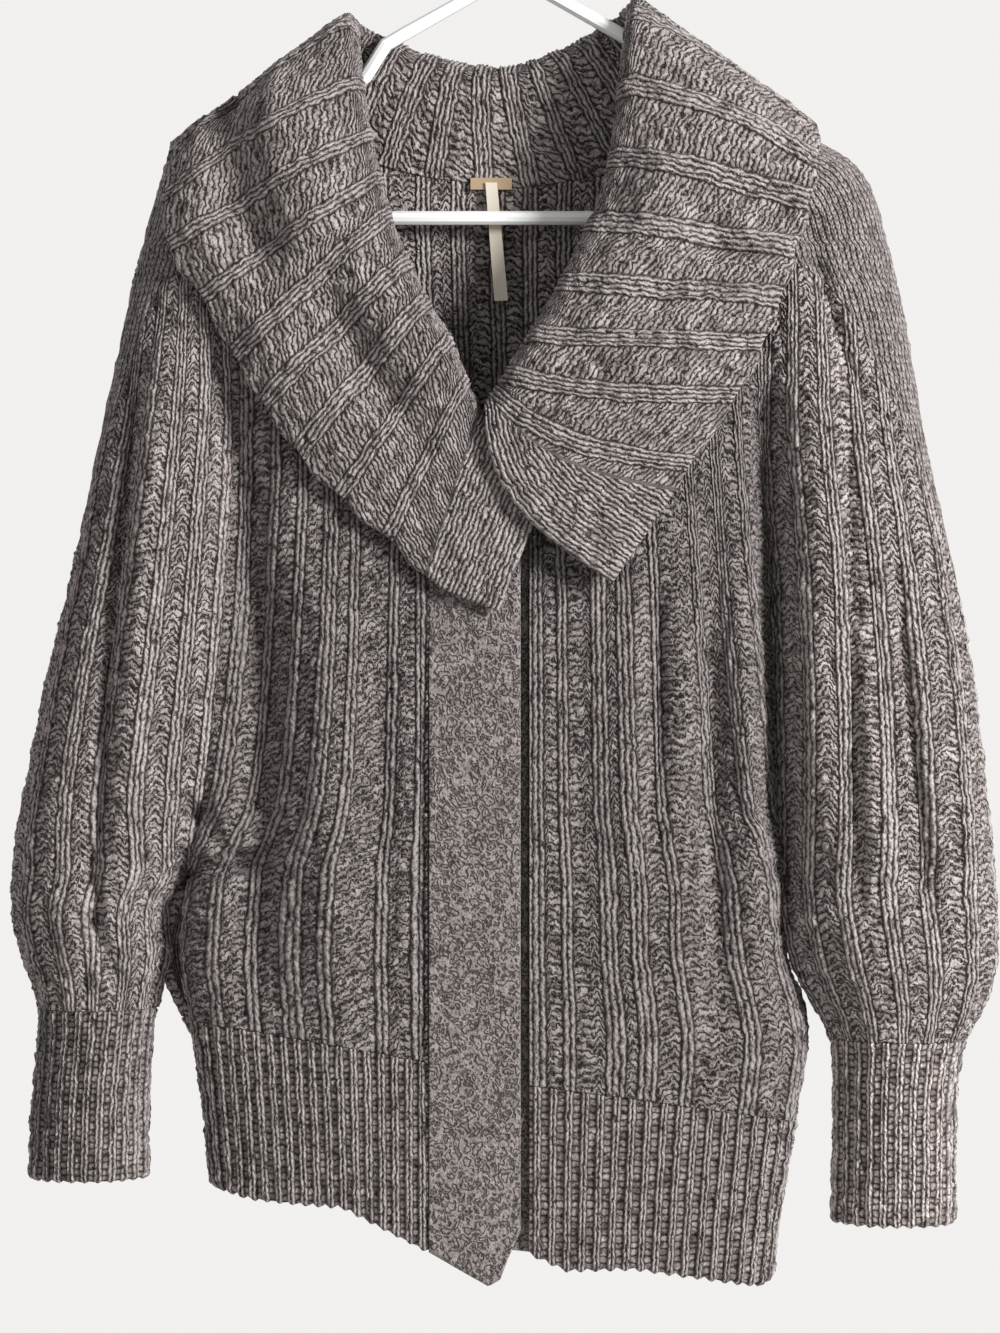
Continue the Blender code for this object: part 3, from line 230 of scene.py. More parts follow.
# %% Collar table
# Collar at each station, from the right-hand tip round the neck to the left-hand tip.
# "seam" is the share of the neckline, "roll" the fold's edge, "outer" the free edge and
# "face" the side it falls to in degrees (-90 front, 0 up, 90 back). "radius" is half the
# fold's thickness, "bulge" how far the fall stands off a straight line and "sweep" how far
# its middle is drawn on towards the left-hand tip, which rounds that end.
COLLAR_COLUMNS = ("seam", "roll_x", "roll_drop", "roll_y", "outer_x", "outer_drop", "outer_y",
                  "face", "radius", "bulge", "sweep")
COLLAR = (
    (0.000, 26, 374, -43, -8, 458, -47, -90, 8.0, 0, 0),
    (0.060, -15, 349, -42, -42, 444, -47, -90, 8.5, 3, 0),
    (0.095, -26, 325, -41, -70, 419, -46, -90, 9.0, 4, 0),
    (0.120, -34, 303, -40, -96, 397, -46, -90, 9.5, 6, 0),
    (0.155, -48, 279, -37, -122, 371, -45, -90, 9.5, 8, 0),
    (0.190, -60, 255, -35, -144, 341, -44, -90, 9.5, 9, 0),
    (0.230, -72, 226, -32, -162, 312, -42, -90, 9.5, 10, 0),
    (0.262, -78, 203, -29, -182, 276, -40, -90, 9.5, 10, 0),
    (0.298, -84, 176, -25, -203, 244, -37, -86, 9.5, 10, 0),
    (0.330, -89, 146, -18, -208, 214, -26, -66, 9.5, 10, 0),
    (0.352, -93, 109, -1, -204, 177, 0, 0, 9.0, 0, 0),
    (0.385, -80, 110, 13, -196, 207, 33, 66, 9.0, 6, 0),
    (0.430, -50, 121, 19, -140, 238, 40, 86, 9.0, 8, 0),
    (0.522, -7, 128, 21, -18, 252, 45, 90, 9.0, 10, 0),
    (0.600, 32, 116, 19, 92, 243, 41, 86, 9.0, 8, 0),
    (0.655, 60, 101, 13, 168, 205, 34, 66, 8.0, 6, 0),
    (0.699, 71, 97, -1, 184, 167, 1, 0, 6.5, 0, 0),
    (0.727, 66, 128, -20, 182, 189, -27, -66, 9.0, 9, 0),
    (0.762, 62, 165, -27, 178, 208, -38, -86, 10.0, 10, 0),
    (0.805, 55, 203, -32, 172, 230, -43, -90, 10.5, 10, 0),
    (0.848, 42, 237, -36, 165, 254, -46, -90, 11.0, 10, 0),
    (0.903, 20, 280, -42, 154, 287, -49, -90, 12.0, 9, 1),
    (0.950, -1, 314, -45, 138, 322, -50, -90, 13.0, 8, 5),
    (0.968, -9, 328, -46, 113, 361, -51, -90, 13.5, 7, 10),
    (0.985, -13, 334, -46, 88, 399, -52, -90, 12.5, 5, 16),
    (1.000, -16, 338, -46, 59, 441, -53, -90, 12.0, 3, 20),
)
print("folds:", {face: len(rows) for face, rows in FOLDS.items()}, "collar stations:", len(COLLAR))

# %% [markdown]
# ## From tables to curves
# A cubic that never overshoots joins the rows of a table, as a bent batten joins the marks
# on a pattern, so that a few rows are enough for a smooth drape.

# %% Curves
def join(t, start, end, leaving, arriving, span=1.0):
    """Cubic from one value to the next with the given slopes at its ends."""
    keep = 2 * t**3 - 3 * t**2 + 1
    lead = (t**3 - 2 * t**2 + t) * span
    trail = (t**3 - t**2) * span
    return keep * start + (1 - keep) * end + lead * leaving + trail * arriving


def smooth(knots, values, where):
    """Cubic through the table's rows that never overshoots between them."""
    step = np.diff(knots)
    slope = np.diff(values) / step
    tangent = np.zeros(len(values))
    tangent[0] = slope[0]
    tangent[-1] = slope[-1]
    for i in range(1, len(values) - 1):
        if slope[i - 1] * slope[i] > 0:
            before = 2 * step[i] + step[i - 1]
            after = step[i] + 2 * step[i - 1]
            tangent[i] = (before + after) / (before / slope[i - 1] + after / slope[i])
    where = np.clip(where, knots[0], knots[-1])
    i = np.clip(np.searchsorted(knots, where, side="right") - 1, 0, len(step) - 1)
    t = (where - knots[i]) / step[i]
    return join(t, values[i], values[i + 1], tangent[i], tangent[i + 1], step[i])


class Table:
    """Rows of named columns, read smoothly along the first of them."""

    def __init__(self, names, rows):
        self.column = dict(zip(names, np.array(list(zip(*rows)), float)))
        self.knots = self.column[names[0]]

    def read(self, name, where):
        return smooth(self.knots, self.column[name], where)


def evenly(points, shares):
    """Points at the given shares of a curve's length."""
    steps = np.linalg.norm(np.diff(points[:, :3], axis=0), axis=1)
    length = np.concatenate(([0], np.cumsum(steps)))
    length /= length[-1]
    return np.stack([np.interp(shares, length, values) for values in points.T], axis=1)

# %% [markdown]
# ## Pressing the folds in
# A superellipse bows each section out, because hanging cloth is nearly flat across and turns
# in tightly at its edge. Each fold is then pressed in along its line and fades out at both
# ends, so that one row shapes every piece the fold crosses.

# %% Folds and sections
def bow(start, end, flat, bulge, root=None):
    """Section from an outer edge to an inner point, in x, drop and y.

    "flat" is the exponent of the rounding, "root" turns the outer edge from a crease (1)
    to fully round (the same as flat), and "bulge" lifts the middle, with its sign.
    """
    q = (1 - np.cos(np.linspace(0, math.pi, 61))) / 2
    rise = (1 - (1 - q) ** flat) ** (1 / (root or flat))
    lobe = 1 - np.abs(2 * q - 1) ** flat
    lobe = np.where(q < 0.5, lobe ** (1 / flat), lobe)
    line = np.outer(1 - q, start) + np.outer(q, end)
    line[:, 2] = start[2] + (end[2] - start[2]) * rise + bulge * lobe
    return line


def press_folds(points, face):
    """Moves points in or out along the folds of one face of the garment."""
    for x_top, drop_top, x_end, drop_end, width, depth in FOLDS[face]:
        top = np.array((x_top, drop_top), float)
        run = np.array((x_end, drop_end), float) - top
        span = np.linalg.norm(run)
        offset = points[..., :2] - top
        along = offset @ run / span**2
        aside = (offset[..., 0] * run[1] - offset[..., 1] * run[0]) / span
        fade = np.clip(np.sin(math.pi * np.clip(along, 0, 1)), 0, 1) ** 0.6
        points[..., 2] -= face * depth * fade * np.exp(-((aside / width) ** 2))
    return points


WAY = {FRONT: "front", BACK: "back"}
TURN = 60                   # length near the underarm over which an edge or a section changes
FLAT = 6.0                  # how squarely a flat panel turns in at the armhole
ROUNDER = 2.6               # how much less squarely it turns below the underarm
SLEEVE_ROUNDING = 2.3       # the same for a sleeve, which is nearly an ellipse


def body_half(body, face, drop, centre_x):
    """Section of one half of the front or back at one level, from the outer edge in.

    It is flat with a tight edge at the armhole, and rounder below the underarm.
    """
    below = np.clip((drop - UNDERARM + 40) / TURN, 0, 1)
    flat = FLAT - ROUNDER * below
    outer = (body.read("outer_x", drop), drop, body.read("outer_" + WAY[face], drop))
    centre = (centre_x, drop, body.read(WAY[face], drop))
    return bow(outer, centre, flat, 0, 1 + (flat - 1) * below)


def armhole_point(side, face, drop):
    """Inner edge of a sleeve: on the body down to the underarm and on its own below it."""
    on_body = drop <= side["underarm"]
    table = side["body" if on_body else "sleeve"]
    edge = "outer_" if on_body else "inner_"
    return table.read(edge + "x", drop), drop, table.read(edge + WAY[face], drop)


def sleeve_half(side, face, drop):
    """Section of the front or back of a sleeve at one level, from the seam out."""
    sleeve = side["sleeve"]
    outer = (sleeve.read("outer_x", drop), drop, sleeve.read("outer_y", drop))
    bulge = face * sleeve.read(WAY[face], drop)
    return bow(outer, armhole_point(side, face, drop), SLEEVE_ROUNDING, bulge)[::-1]


def sleeve_ring(side, drop):
    """Whole section of a sleeve from the front seam round its outer side to the back seam."""
    return np.concatenate((sleeve_half(side, FRONT, drop), sleeve_half(side, BACK, drop)[::-1][1:]))

# %% [markdown]
# ## Surfaces of the garment
# The sections are worked out once at close levels and kept, because many pieces read them.
# A place on a surface is a share across it and a drop, as a knitter counts stitches across
# and rows down.

# %% Surfaces
class Levels:
    """A surface kept as sections at close levels, read at a share and a drop."""

    def __init__(self, section, top, bottom, samples=121, spacing=4.0):
        self.drops = np.linspace(top, bottom, int((bottom - top) / spacing) + 2)
        self.shares = np.linspace(0, 1, samples)
        self.points = np.stack([evenly(section(drop), self.shares) for drop in self.drops])

    def at(self, share, drop):
        share, drop = np.broadcast_arrays(share, drop)
        row = np.clip((drop - self.drops[0]) / (self.drops[1] - self.drops[0]), 0, len(self.drops) - 1.001)
        col = np.clip(share, 0, 1) * (len(self.shares) - 1.001)
        i = row.astype(int)
        j = col.astype(int)
        a = (row - i)[..., None]
        b = (col - j)[..., None]
        grid = self.points
        near = grid[i, j] * (1 - b) + grid[i, j + 1] * b
        far = grid[i + 1, j] * (1 - b) + grid[i + 1, j + 1] * b
        point = near * (1 - a) + far * a
        point[..., 1] = drop
        return point


def edge_drop(edge, surface, shares, name="drop"):
    """Level of a panel's slanted edge at each share, found where the panel crosses it."""
    levels = edge.column[name]
    drop = np.full(len(shares), levels.mean())
    for _ in range(6):
        drop = np.interp(surface.at(shares, drop)[:, 0], edge.knots, levels)
    return drop


def unit(vector):
    """Vectors of length one."""
    vector = np.asarray(vector, float)
    return vector / np.maximum(np.linalg.norm(vector, axis=-1, keepdims=True), 1e-9)


def to_world(points):
    """From x, drop and y in millimetres to metres."""
    return np.stack((points[..., 0], points[..., 2], -points[..., 1]), axis=-1) * MM


SIDES = {
    "right": {"sign": -1, "body": Table(BODY_COLUMNS, BODY_RIGHT), "underarm": 611.0,
              "sleeve": Table(SLEEVE_COLUMNS, SLEEVE_RIGHT), "ridge": Table(RIDGE_COLUMNS, RIDGE_RIGHT),
              "neck": Table(NECK_COLUMNS, sorted(NECK_FRONT_RIGHT)), "hem": Table(HEM_COLUMNS, HEM_RIGHT),
              "front_edge": -49.0, "corner": (-112, -107), "cuff": (694, 796)},
    "left": {"sign": 1, "body": Table(BODY_COLUMNS, BODY_LEFT), "underarm": 628.0,
             "sleeve": Table(SLEEVE_COLUMNS, SLEEVE_LEFT), "ridge": Table(RIDGE_COLUMNS, RIDGE_LEFT),
             "neck": Table(NECK_COLUMNS, sorted(NECK_FRONT_LEFT)), "hem": Table(HEM_COLUMNS, HEM_LEFT),
             "front_edge": 10.0, "corner": (97, 95), "cuff": (712, 822)},
}


def back_section(drop):
    """Section of the whole back, which reaches a little behind the sleeves below the underarms."""
    right = body_half(SIDES["right"]["body"], BACK, drop, -10.0)
    left = body_half(SIDES["left"]["body"], BACK, drop, 10.0)
    section = np.concatenate((right, left[::-1]))
    x = section[:, 0].copy()
    for sign, reach, middle in ((-1, 13, 662), (1, 9, 678)):
        past = reach * max(0.0, 1 - ((drop - middle) / 52) ** 2)
        section[:, 0] += sign * past * np.clip((sign * x - 150) / 40, 0, 1) ** 2
    return section


def ease_levels(surface, reach=5):
    """Evens a sleeve's sections from level to level, but for its edges at the body."""
    weights = np.exp(-np.linspace(-2, 2, 2 * reach + 1) ** 2)
    weights /= weights.sum()
    padded = np.concatenate((surface.points[:1].repeat(reach, 0), surface.points,
                             surface.points[-1:].repeat(reach, 0)))
    even = sum(weight * padded[k:k + len(surface.points)] for k, weight in enumerate(weights))
    away = np.clip(np.minimum(surface.shares, 1 - surface.shares) / 0.1, 0, 1)[None, :, None]
    surface.points = surface.points * (1 - away) + even * away
    return surface


surfaces = {"back": Levels(back_section, *BODY_LEVELS, samples=241)}
for name, side in SIDES.items():
    surfaces["front_" + name] = Levels(
        lambda drop: body_half(side["body"], FRONT, drop, side["front_edge"])[::-1], *BODY_LEVELS)
    surfaces["sleeve_" + name] = ease_levels(
        Levels(lambda drop: sleeve_ring(side, drop), *SLEEVE_LEVELS, samples=241))
print("surfaces:", {name: surface.points.shape for name, surface in surfaces.items()})

# %% [markdown]
# ## A fine knitted wall
# Each piece is one closed wall of cloth. Its outside is a fine grid, because the stitches
# are raised there, and its inside is a sparser one. Edges are let down a little: a sewn
# edge lies in a shallow crease and a free edge is round. Two values are kept on the grid
# for the yarn: where each point is in the knitting, and which way its stitches stand up.

# %% Fine walls
NEAR_EDGE = (0.35, 0.8)     # distance of the first points from an edge, for its rounding
CLEAR_EDGE = 1.4            # distance from which the even step goes on
FREE_EDGE = WALL / 2.2      # an edge let down by more than this is free, and round on both sides
STEEPEST = 0.96             # a round edge stops just short of upright
FLAT_EDGE = 1.6             # stitches fade out where an edge is let down by this much
SAMPLE = 400                # faces that are enough to tell the outside from the inside


def spread(length, step):
    """Shares along a length at an even step, closer together at both ends."""
    even = np.linspace(0, 1, max(int(round(length / step)), 2) + 1)
    near = np.array(NEAR_EDGE) / length
    inside = even[(even > CLEAR_EDGE / length) & (even < 1 - CLEAR_EDGE / length)]
    return np.concatenate(([0], near, inside, 1 - near[::-1], [1]))


def run_length(points, axis):
    """Distance in millimetres from the start of a grid along one of its directions."""
    step = np.linalg.norm(np.diff(points, axis=axis), axis=2)
    start = np.zeros_like(np.take(step, [0], axis=axis))
    return np.concatenate((start, np.cumsum(step, axis=axis)), axis=axis)


def keep_every(count, every):
    """Places of the sparser inside grid, always with the ones at both edges."""
    return sorted(set(range(0, count, every)) | {1, 2, count - 3, count - 2, count - 1})


def let_down(points, normal, radii):
    """Rounds the edges of a grid: radii is first row, last row, first and last column."""
    down = run_length(points, 0)
    across = run_length(points, 1)
    spans = (down, down[-1:] - down, across, across[:, -1:] - across)
    fall = np.zeros(points.shape[:2])
    for span, radius in zip(spans, radii):
        if radius > 0:
            near = np.clip(1 - span / radius, 0, 1)
            fall = np.maximum(fall, radius * (1 - np.sqrt(1 - near**2 * STEEPEST)))
    return points - normal * fall[..., None], fall

# %% [markdown]
# ## Closing the wall
# A sheet without thickness would look like paper at every edge, so a rim joins the outside
# and the inside all round. Each face of the rim takes two points of the inside and all the
# points of the outside that lie beside them.

# %% Closed walls
def grid_faces(rows, cols, start, flip):
    """Quads of a grid that is stored row by row."""
    i, j = np.meshgrid(np.arange(rows - 1), np.arange(cols - 1), indexing="ij")
    a = start + (i * cols + j).ravel()
    quads = np.stack((a, a + 1, a + 1 + cols, a + cols), axis=1)
    return (quads[:, ::-1] if flip else quads).tolist()


def add_values(mesh, name, values):
    """Keeps a vector on every point of a mesh."""
    layer = mesh.attributes.new(name, "FLOAT_VECTOR", "POINT")
    layer.data.foreach_set("vector", np.ascontiguousarray(values, dtype=np.float32).ravel())


def put_in_scene(name, data):
    """New object that holds a mesh, a light or a camera."""
    made = bpy.data.objects.new(name, data)
    bpy.context.scene.collection.objects.link(made)
    return made


EDGES = {"first_row": (0, slice(None)), "last_row": (-1, slice(None)),
         "first_column": (slice(None), 0), "last_column": (slice(None), -1)}
walls = {}


def knit_wall(name, points, outward, stitch, radii, inward, level_rims=True, every=3):
    """Closed wall with a fine outside, a sparser inside and its knitting on every point."""
    normal = unit(np.cross(np.gradient(points, axis=0), np.gradient(points, axis=1))) * outward
    inside = -normal
    if level_rims:
        inside[[0, -1], :, 1] = 0.0
        inside[[0, -1]] = unit(inside[[0, -1]])
    for edge, direction in inward.items():
        inside[EDGES[edge]] = unit(np.broadcast_to(direction, inside[EDGES[edge]].shape))
    outer, fall = let_down(points, -inside, radii)
    free = [radius if radius > FREE_EDGE else 0 for radius in radii]
    inner, _ = let_down(points + inside * WALL, inside, free)
    rows, cols = points.shape[:2]
    keep_rows = keep_every(rows, every)
    keep_cols = keep_every(cols, every)
    kept = np.ix_(keep_rows, keep_cols)
    width = len(keep_cols)
    world = to_world(np.concatenate((outer.reshape(-1, 3), inner[kept].reshape(-1, 3))))

    # The outside comes first in the list of points, then the inside, then the four rims.
    back = rows * cols
    last = back + (len(keep_rows) - 1) * width
    foot = (rows - 1) * cols
    faces = grid_faces(rows, cols, 0, False) + grid_faces(len(keep_rows), width, back, True)
    for n, (a, b) in enumerate(zip(keep_cols, keep_cols[1:])):
        faces.append([back + n, back + n + 1, *range(b, a - 1, -1)])
        faces.append([last + n + 1, last + n, *range(foot + a, foot + b + 1)])
    for n, (a, b) in enumerate(zip(keep_rows, keep_rows[1:])):
        left = back + n * width
        right = left + width - 1
        faces.append([left + width, left, *range(a * cols, b * cols + 1, cols)])
        faces.append([right, right + width, *(i * cols + cols - 1 for i in range(b, a - 1, -1))])
    a, b, c = (world[[face[k] for face in faces[:SAMPLE]]] for k in (0, 1, 2))
    facing = np.cross(b - a, c - a).sum(axis=0) @ to_world(-inside[:3]).reshape(-1, 3).sum(axis=0)
    mesh = bpy.data.meshes.new(name + "_knit")
    mesh.from_pydata(world.tolist(), [], faces if facing > 0 else [face[::-1] for face in faces])
    mesh.polygons.foreach_set("use_smooth", [True] * len(mesh.polygons))

    raise_by = np.clip(1 - fall / FLAT_EDGE, 0.0, 1)[..., None]
    lift = (to_world(normal * raise_by) / MM).reshape(-1, 3)
    add_values(mesh, "stitch", np.concatenate((stitch.reshape(-1, 3), stitch[kept].reshape(-1, 3))))
    add_values(mesh, "lift", np.concatenate((lift, np.zeros((len(world) - back, 3)))))
    walls[name] = put_in_scene(name + "_knit", mesh)


def tell(label, names):
    """Prints how many triangles the named walls have."""
    print(label, {name: sum(len(face.vertices) - 2 for face in walls[name].data.polygons) for name in names})

# %% [markdown]
# ## One place to lay out nodes
# The stitches are worked out twice with the same sums: once to raise the mesh and once,
# finer, to shade it. A small helper lays the nodes out in either kind of tree.

# %% Node helper
class Graph:
    """Lays out the nodes of one tree and joins them."""

    def __init__(self, tree):
        self.tree = tree
        self.count = 0

    def node(self, kind, given=None, **settings):
        """Node with its settings, and its inputs fed by name or number."""
        node = self.tree.nodes.new(kind)
        node.location = (190 * (self.count % 14), -230 * (self.count // 14))
        self.count += 1
        for key, value in settings.items():
            setattr(node, key, value)
        for key, value in (given or {}).items():
            self.feed(node.inputs[key], value)
        return node

    def feed(self, socket, value):
        """Joins a socket to another one, or sets it to a plain value."""
        if isinstance(value, bpy.types.NodeSocket):
            self.tree.links.new(value, socket)
        else:
            socket.default_value = value

    def math(self, operation, a, b=0.0, c=0.0):
        return self.node("ShaderNodeMath", {0: a, 1: b, 2: c}, operation=operation).outputs[0]

    def add(self, a, b):
        return self.math("ADD", a, b)

    def less(self, a, b):
        return self.math("SUBTRACT", a, b)

    def times(self, a, b):
        return self.math("MULTIPLY", a, b)

    def over(self, a, b):
        return self.math("DIVIDE", a, b)

    def plus_times(self, a, b, c):
        return self.math("MULTIPLY_ADD", a, b, c)

    def ease(self, value, low, high, start=0.0, end=1.0):
        given = {0: value, 1: low, 2: high, 3: start, 4: end}
        return self.node("ShaderNodeMapRange", given, interpolation_type="SMOOTHSTEP", clamp=True).outputs[0]

    def mix(self, share, a, b):
        return self.node("ShaderNodeMix", {0: share, 2: a, 3: b}, data_type="FLOAT").outputs[0]

    def blend_colours(self, share, a, b, way="MIX"):
        given = {0: share, 6: a, 7: b}
        return self.node("ShaderNodeMix", given, data_type="RGBA", blend_type=way).outputs[2]

    def vector(self, x, y, z):
        return self.node("ShaderNodeCombineXYZ", {0: x, 1: y, 2: z}).outputs[0]

    def split(self, vector):
        return self.node("ShaderNodeSeparateXYZ", {0: vector}).outputs

    def scaled(self, vector, by):
        return self.node("ShaderNodeVectorMath", {0: vector, "Scale": by}, operation="SCALE").outputs[0]

    def noise(self, vector, scale, detail=1.0, roughness=0.5, output=0):
        given = {"Vector": vector, "Scale": scale, "Detail": detail, "Roughness": roughness}
        return self.node("ShaderNodeTexNoise", given, noise_dimensions="3D").outputs[output]

    def chance(self, *values):
        given = {"Vector": self.vector(*values)}
        return self.node("ShaderNodeTexWhiteNoise", given, noise_dimensions="3D").outputs["Value"]


def new_group(name, kind, inputs, outputs):
    """Node group with named sockets: returns it, its graph, its inputs and its output node."""
    group = bpy.data.node_groups.new(name, kind)
    for label, socket, value in inputs:
        made = group.interface.new_socket(label, in_out="INPUT", socket_type="NodeSocket" + socket)
        if value is not None:
            made.default_value = value
    for label, socket in outputs:
        group.interface.new_socket(label, in_out="OUTPUT", socket_type="NodeSocket" + socket)
    graph = Graph(group)
    start = graph.node("NodeGroupInput")
    end = graph.node("NodeGroupOutput")
    return group, graph, start.outputs, end.inputs

# %% [markdown]
# ## The stitches
# Each rib is a few upright chains of stitches. A chain is two strands that lean together,
# with a gap between them that is painted in shade, which the next stitch bridges. Between
# the ribs the back of the stitch shows as stacked bars that arch from rib to rib. The front
# bands are seed stitch, where short strands curl every way. The sums work in millimetres.

# %% Stitches
def across_strand(g, value):
    """Height across a strand: 0 in the gap at each whole number and 1 half way."""
    edge = g.plus_times(g.math("FRACT", value), 2.0, -1.0)
    return g.less(1.0, g.times(edge, edge))


def hand(g, ins, scale=0.115):
    """Unevenness of hand-fed wool: a value for each of three directions, about zero."""
    given = {0: g.noise(ins["Place"], scale, 2.0, 0.62, "Color"), 1: (0.5, 0.5, 0.5)}
    return g.split(g.node("ShaderNodeVectorMath", given, operation="SUBTRACT").outputs[0])


def rib_bands(g, ins):
    """Ribs of upright strands with bands of bars between them."""
    shake = hand(g, ins)
    curl = hand(g, ins, 0.25)
    width = ins["Width"]
    strand_wide = ins["Strand"]
    cell = g.math("FLOOR", ins["Repeat"])
    off = g.times(g.add(g.math("FRACT", ins["Repeat"]), -0.5), width)
    off = g.plus_times(shake[1], ins["Wander"], off)
    along = g.plus_times(shake[0], ins["Unevenness"], ins["Along"])
    more = g.times(g.chance(cell, ins["Seed"], 1.0), ins["More strands"])
    more = g.times(more, g.math("GREATER_THAN", width, 6.0))
    strands = g.add(ins["Strands"], g.math("ROUND", more))
    half = g.times(g.times(strands, strand_wide), 0.5)
    beside = g.math("ABSOLUTE", off)
    past_rib = g.less(beside, half)
    on_rib = g.ease(past_rib, 0.25, -0.25)

    # Upright chains of the rib, with a nick at each stitch and a bridge over the gap.
    lane = g.over(g.plus_times(curl[1], 1.6, g.add(off, half)), strand_wide)
    stitch = g.over(along, ins["Stitch"])
    reach = g.math("ABSOLUTE", g.plus_times(g.math("FRACT", g.times(lane, 0.5)), 2.0, -1.0))
    nick = g.math("POWER", across_strand(g, g.plus_times(reach, -0.8, stitch)), 0.5)
    upright = g.times(across_strand(g, lane), g.plus_times(g.add(nick, -1.0), ins["Nick"], 1.0))
    bridge = g.math("COSINE", g.times(g.plus_times(g.math("ROUND", lane), 0.5, stitch), 2 * math.pi))
    upright = g.math("MAXIMUM", upright, g.plus_times(bridge, 0.35, 0.0))

    # Stacked bars between the ribs, arched from rib to rib and each band at its own tilt.
    beyond = g.math("MAXIMUM", past_rib, 0.0)
    band = g.math("MAXIMUM", g.less(width, g.times(half, 2.0)), 1.0)
    arches = g.math("MAXIMUM", g.math("ROUND", g.over(band, ins["Wale"])), 1.0)
    arch = g.math("COSINE", g.times(g.over(g.times(beyond, arches), band), 2 * math.pi))
    steep = g.plus_times(g.chance(cell, ins["Seed"], 2.0), 1.3, 0.35)
    level = g.plus_times(curl[0], ins["Curl"], along)
    level = g.plus_times(g.times(arch, steep), g.times(ins["Arc"], -1.0), level)
    own_tilt = g.add(g.chance(cell, ins["Seed"], 3.0), -0.5)
    tilt = g.plus_times(own_tilt, ins["Tilt spread"], ins["Tilt"])
    level = g.plus_times(g.plus_times(curl[1], ins["Curl"], off), tilt, level)
    place = g.over(level, ins["Bar pitch"])
    bar = across_strand(g, place)

    # Both together, with a groove beside each rib and pits where the yarn is thin.
    groove = g.ease(g.math("ABSOLUTE", past_rib), 0.0, 1.3, ins["Groove"], 1.0)
    strand = g.times(g.mix(on_rib, bar, upright), groove)
    height = g.mix(on_rib, g.times(bar, ins["Bar height"]), upright)
    height = g.plus_times(g.ease(past_rib, 1.5, -1.5), ins["Rib rise"], height)
    height = g.times(height, groove)
    pit = g.ease(curl[2], -0.2, -0.08, ins["Pits"], 1.0)
    height = g.plus_times(shake[2], 2.6, g.times(height, pit))
    number = g.mix(on_rib, g.math("FLOOR", place), g.add(g.math("FLOOR", lane), g.math("FLOOR", stitch)))
    # Strand is what the painted shade is taken from: it is low in the gaps, the grooves and the pits.
    return height, g.times(strand, pit), g.plus_times(cell, 37.0, number), on_rib

# %% [markdown]
# ## Seed stitch and node groups
# Seed stitch changes between knit and purl at every stitch, so its short strands curl every
# way. Both kinds of knitting become node groups with the same inputs, once for meshes and
# once for shading, so that raised and painted stitches fall on the same places.

# %% Seed stitch and node groups
def seed_stitch(g, ins):
    """Short curled strands of seed stitch, as the lines where a slow noise passes its middle."""
    given = {0: g.vector(*hand(g, ins)), 1: (3.0, 3.0, 3.0), 2: ins["Place"]}
    moved = g.node("ShaderNodeVectorMath", given, operation="MULTIPLY_ADD").outputs[0]
    place = g.over(g.noise(moved, g.over(1.0, ins["Wale"]), 2.0), ins["Bar pitch"])
    strand = across_strand(g, place)
    return strand, g.plus_times(strand, 0.6, 0.4), g.math("FLOOR", place), 0.0


KNIT_INPUTS = (
    ("Repeat", 0.0), ("Along", 0.0), ("Width", 25.0), ("Strand", 3.3), ("Strands", 2.0),
    ("More strands", 2.0), ("Stitch", 4.4), ("Nick", 0.4), ("Bar pitch", 4.5), ("Wale", 9.0),
    ("Arc", 1.3), ("Tilt", 0.0), ("Tilt spread", 0.9), ("Bar height", 0.85), ("Wander", 3.0),
    ("Unevenness", 7.0), ("Curl", 9.0), ("Pits", 0.35), ("Groove", 0.5),
    ("Rib rise", 0.25), ("Seed", 1.0),
)
STITCHES = {"rib bands": rib_bands, "seed stitch": seed_stitch}


def stitch_group(name, kind):
    """The sums of one kind of knitting as a node group, for meshes or for shading."""
    group, g, ins, outs = new_group(
        name, kind, [("Place", "Vector", None)] + [(label, "Float", value) for label, value in KNIT_INPUTS],
        [(label, "Float") for label in ("Height", "Strand", "Number", "On rib")])
    for socket, value in zip(outs, STITCHES[name](g, ins)):
        g.feed(socket, value)
    return group


def knitting_values(g, place, position):
    """Values that the stitches start from: place in millimetres, repeat, way along and width."""
    repeat, along, width = g.split(place)
    return {"Place": g.scaled(position, 1 / MM), "Repeat": repeat, "Along": along, "Width": width}


MESH_STITCH = {name: stitch_group(name, "GeometryNodeTree") for name in STITCHES}
SHADE_STITCH = {name: stitch_group(name, "ShaderNodeTree") for name in STITCHES}
print("stitches:", {name: len(group.nodes) for name, group in SHADE_STITCH.items()})

# %% [markdown]
# ## Raising the stitches
# This tree pushes each point of the outside along its own way up by the height of the
# knitting there. It is set by named inputs, so one tree serves every piece of cloth.

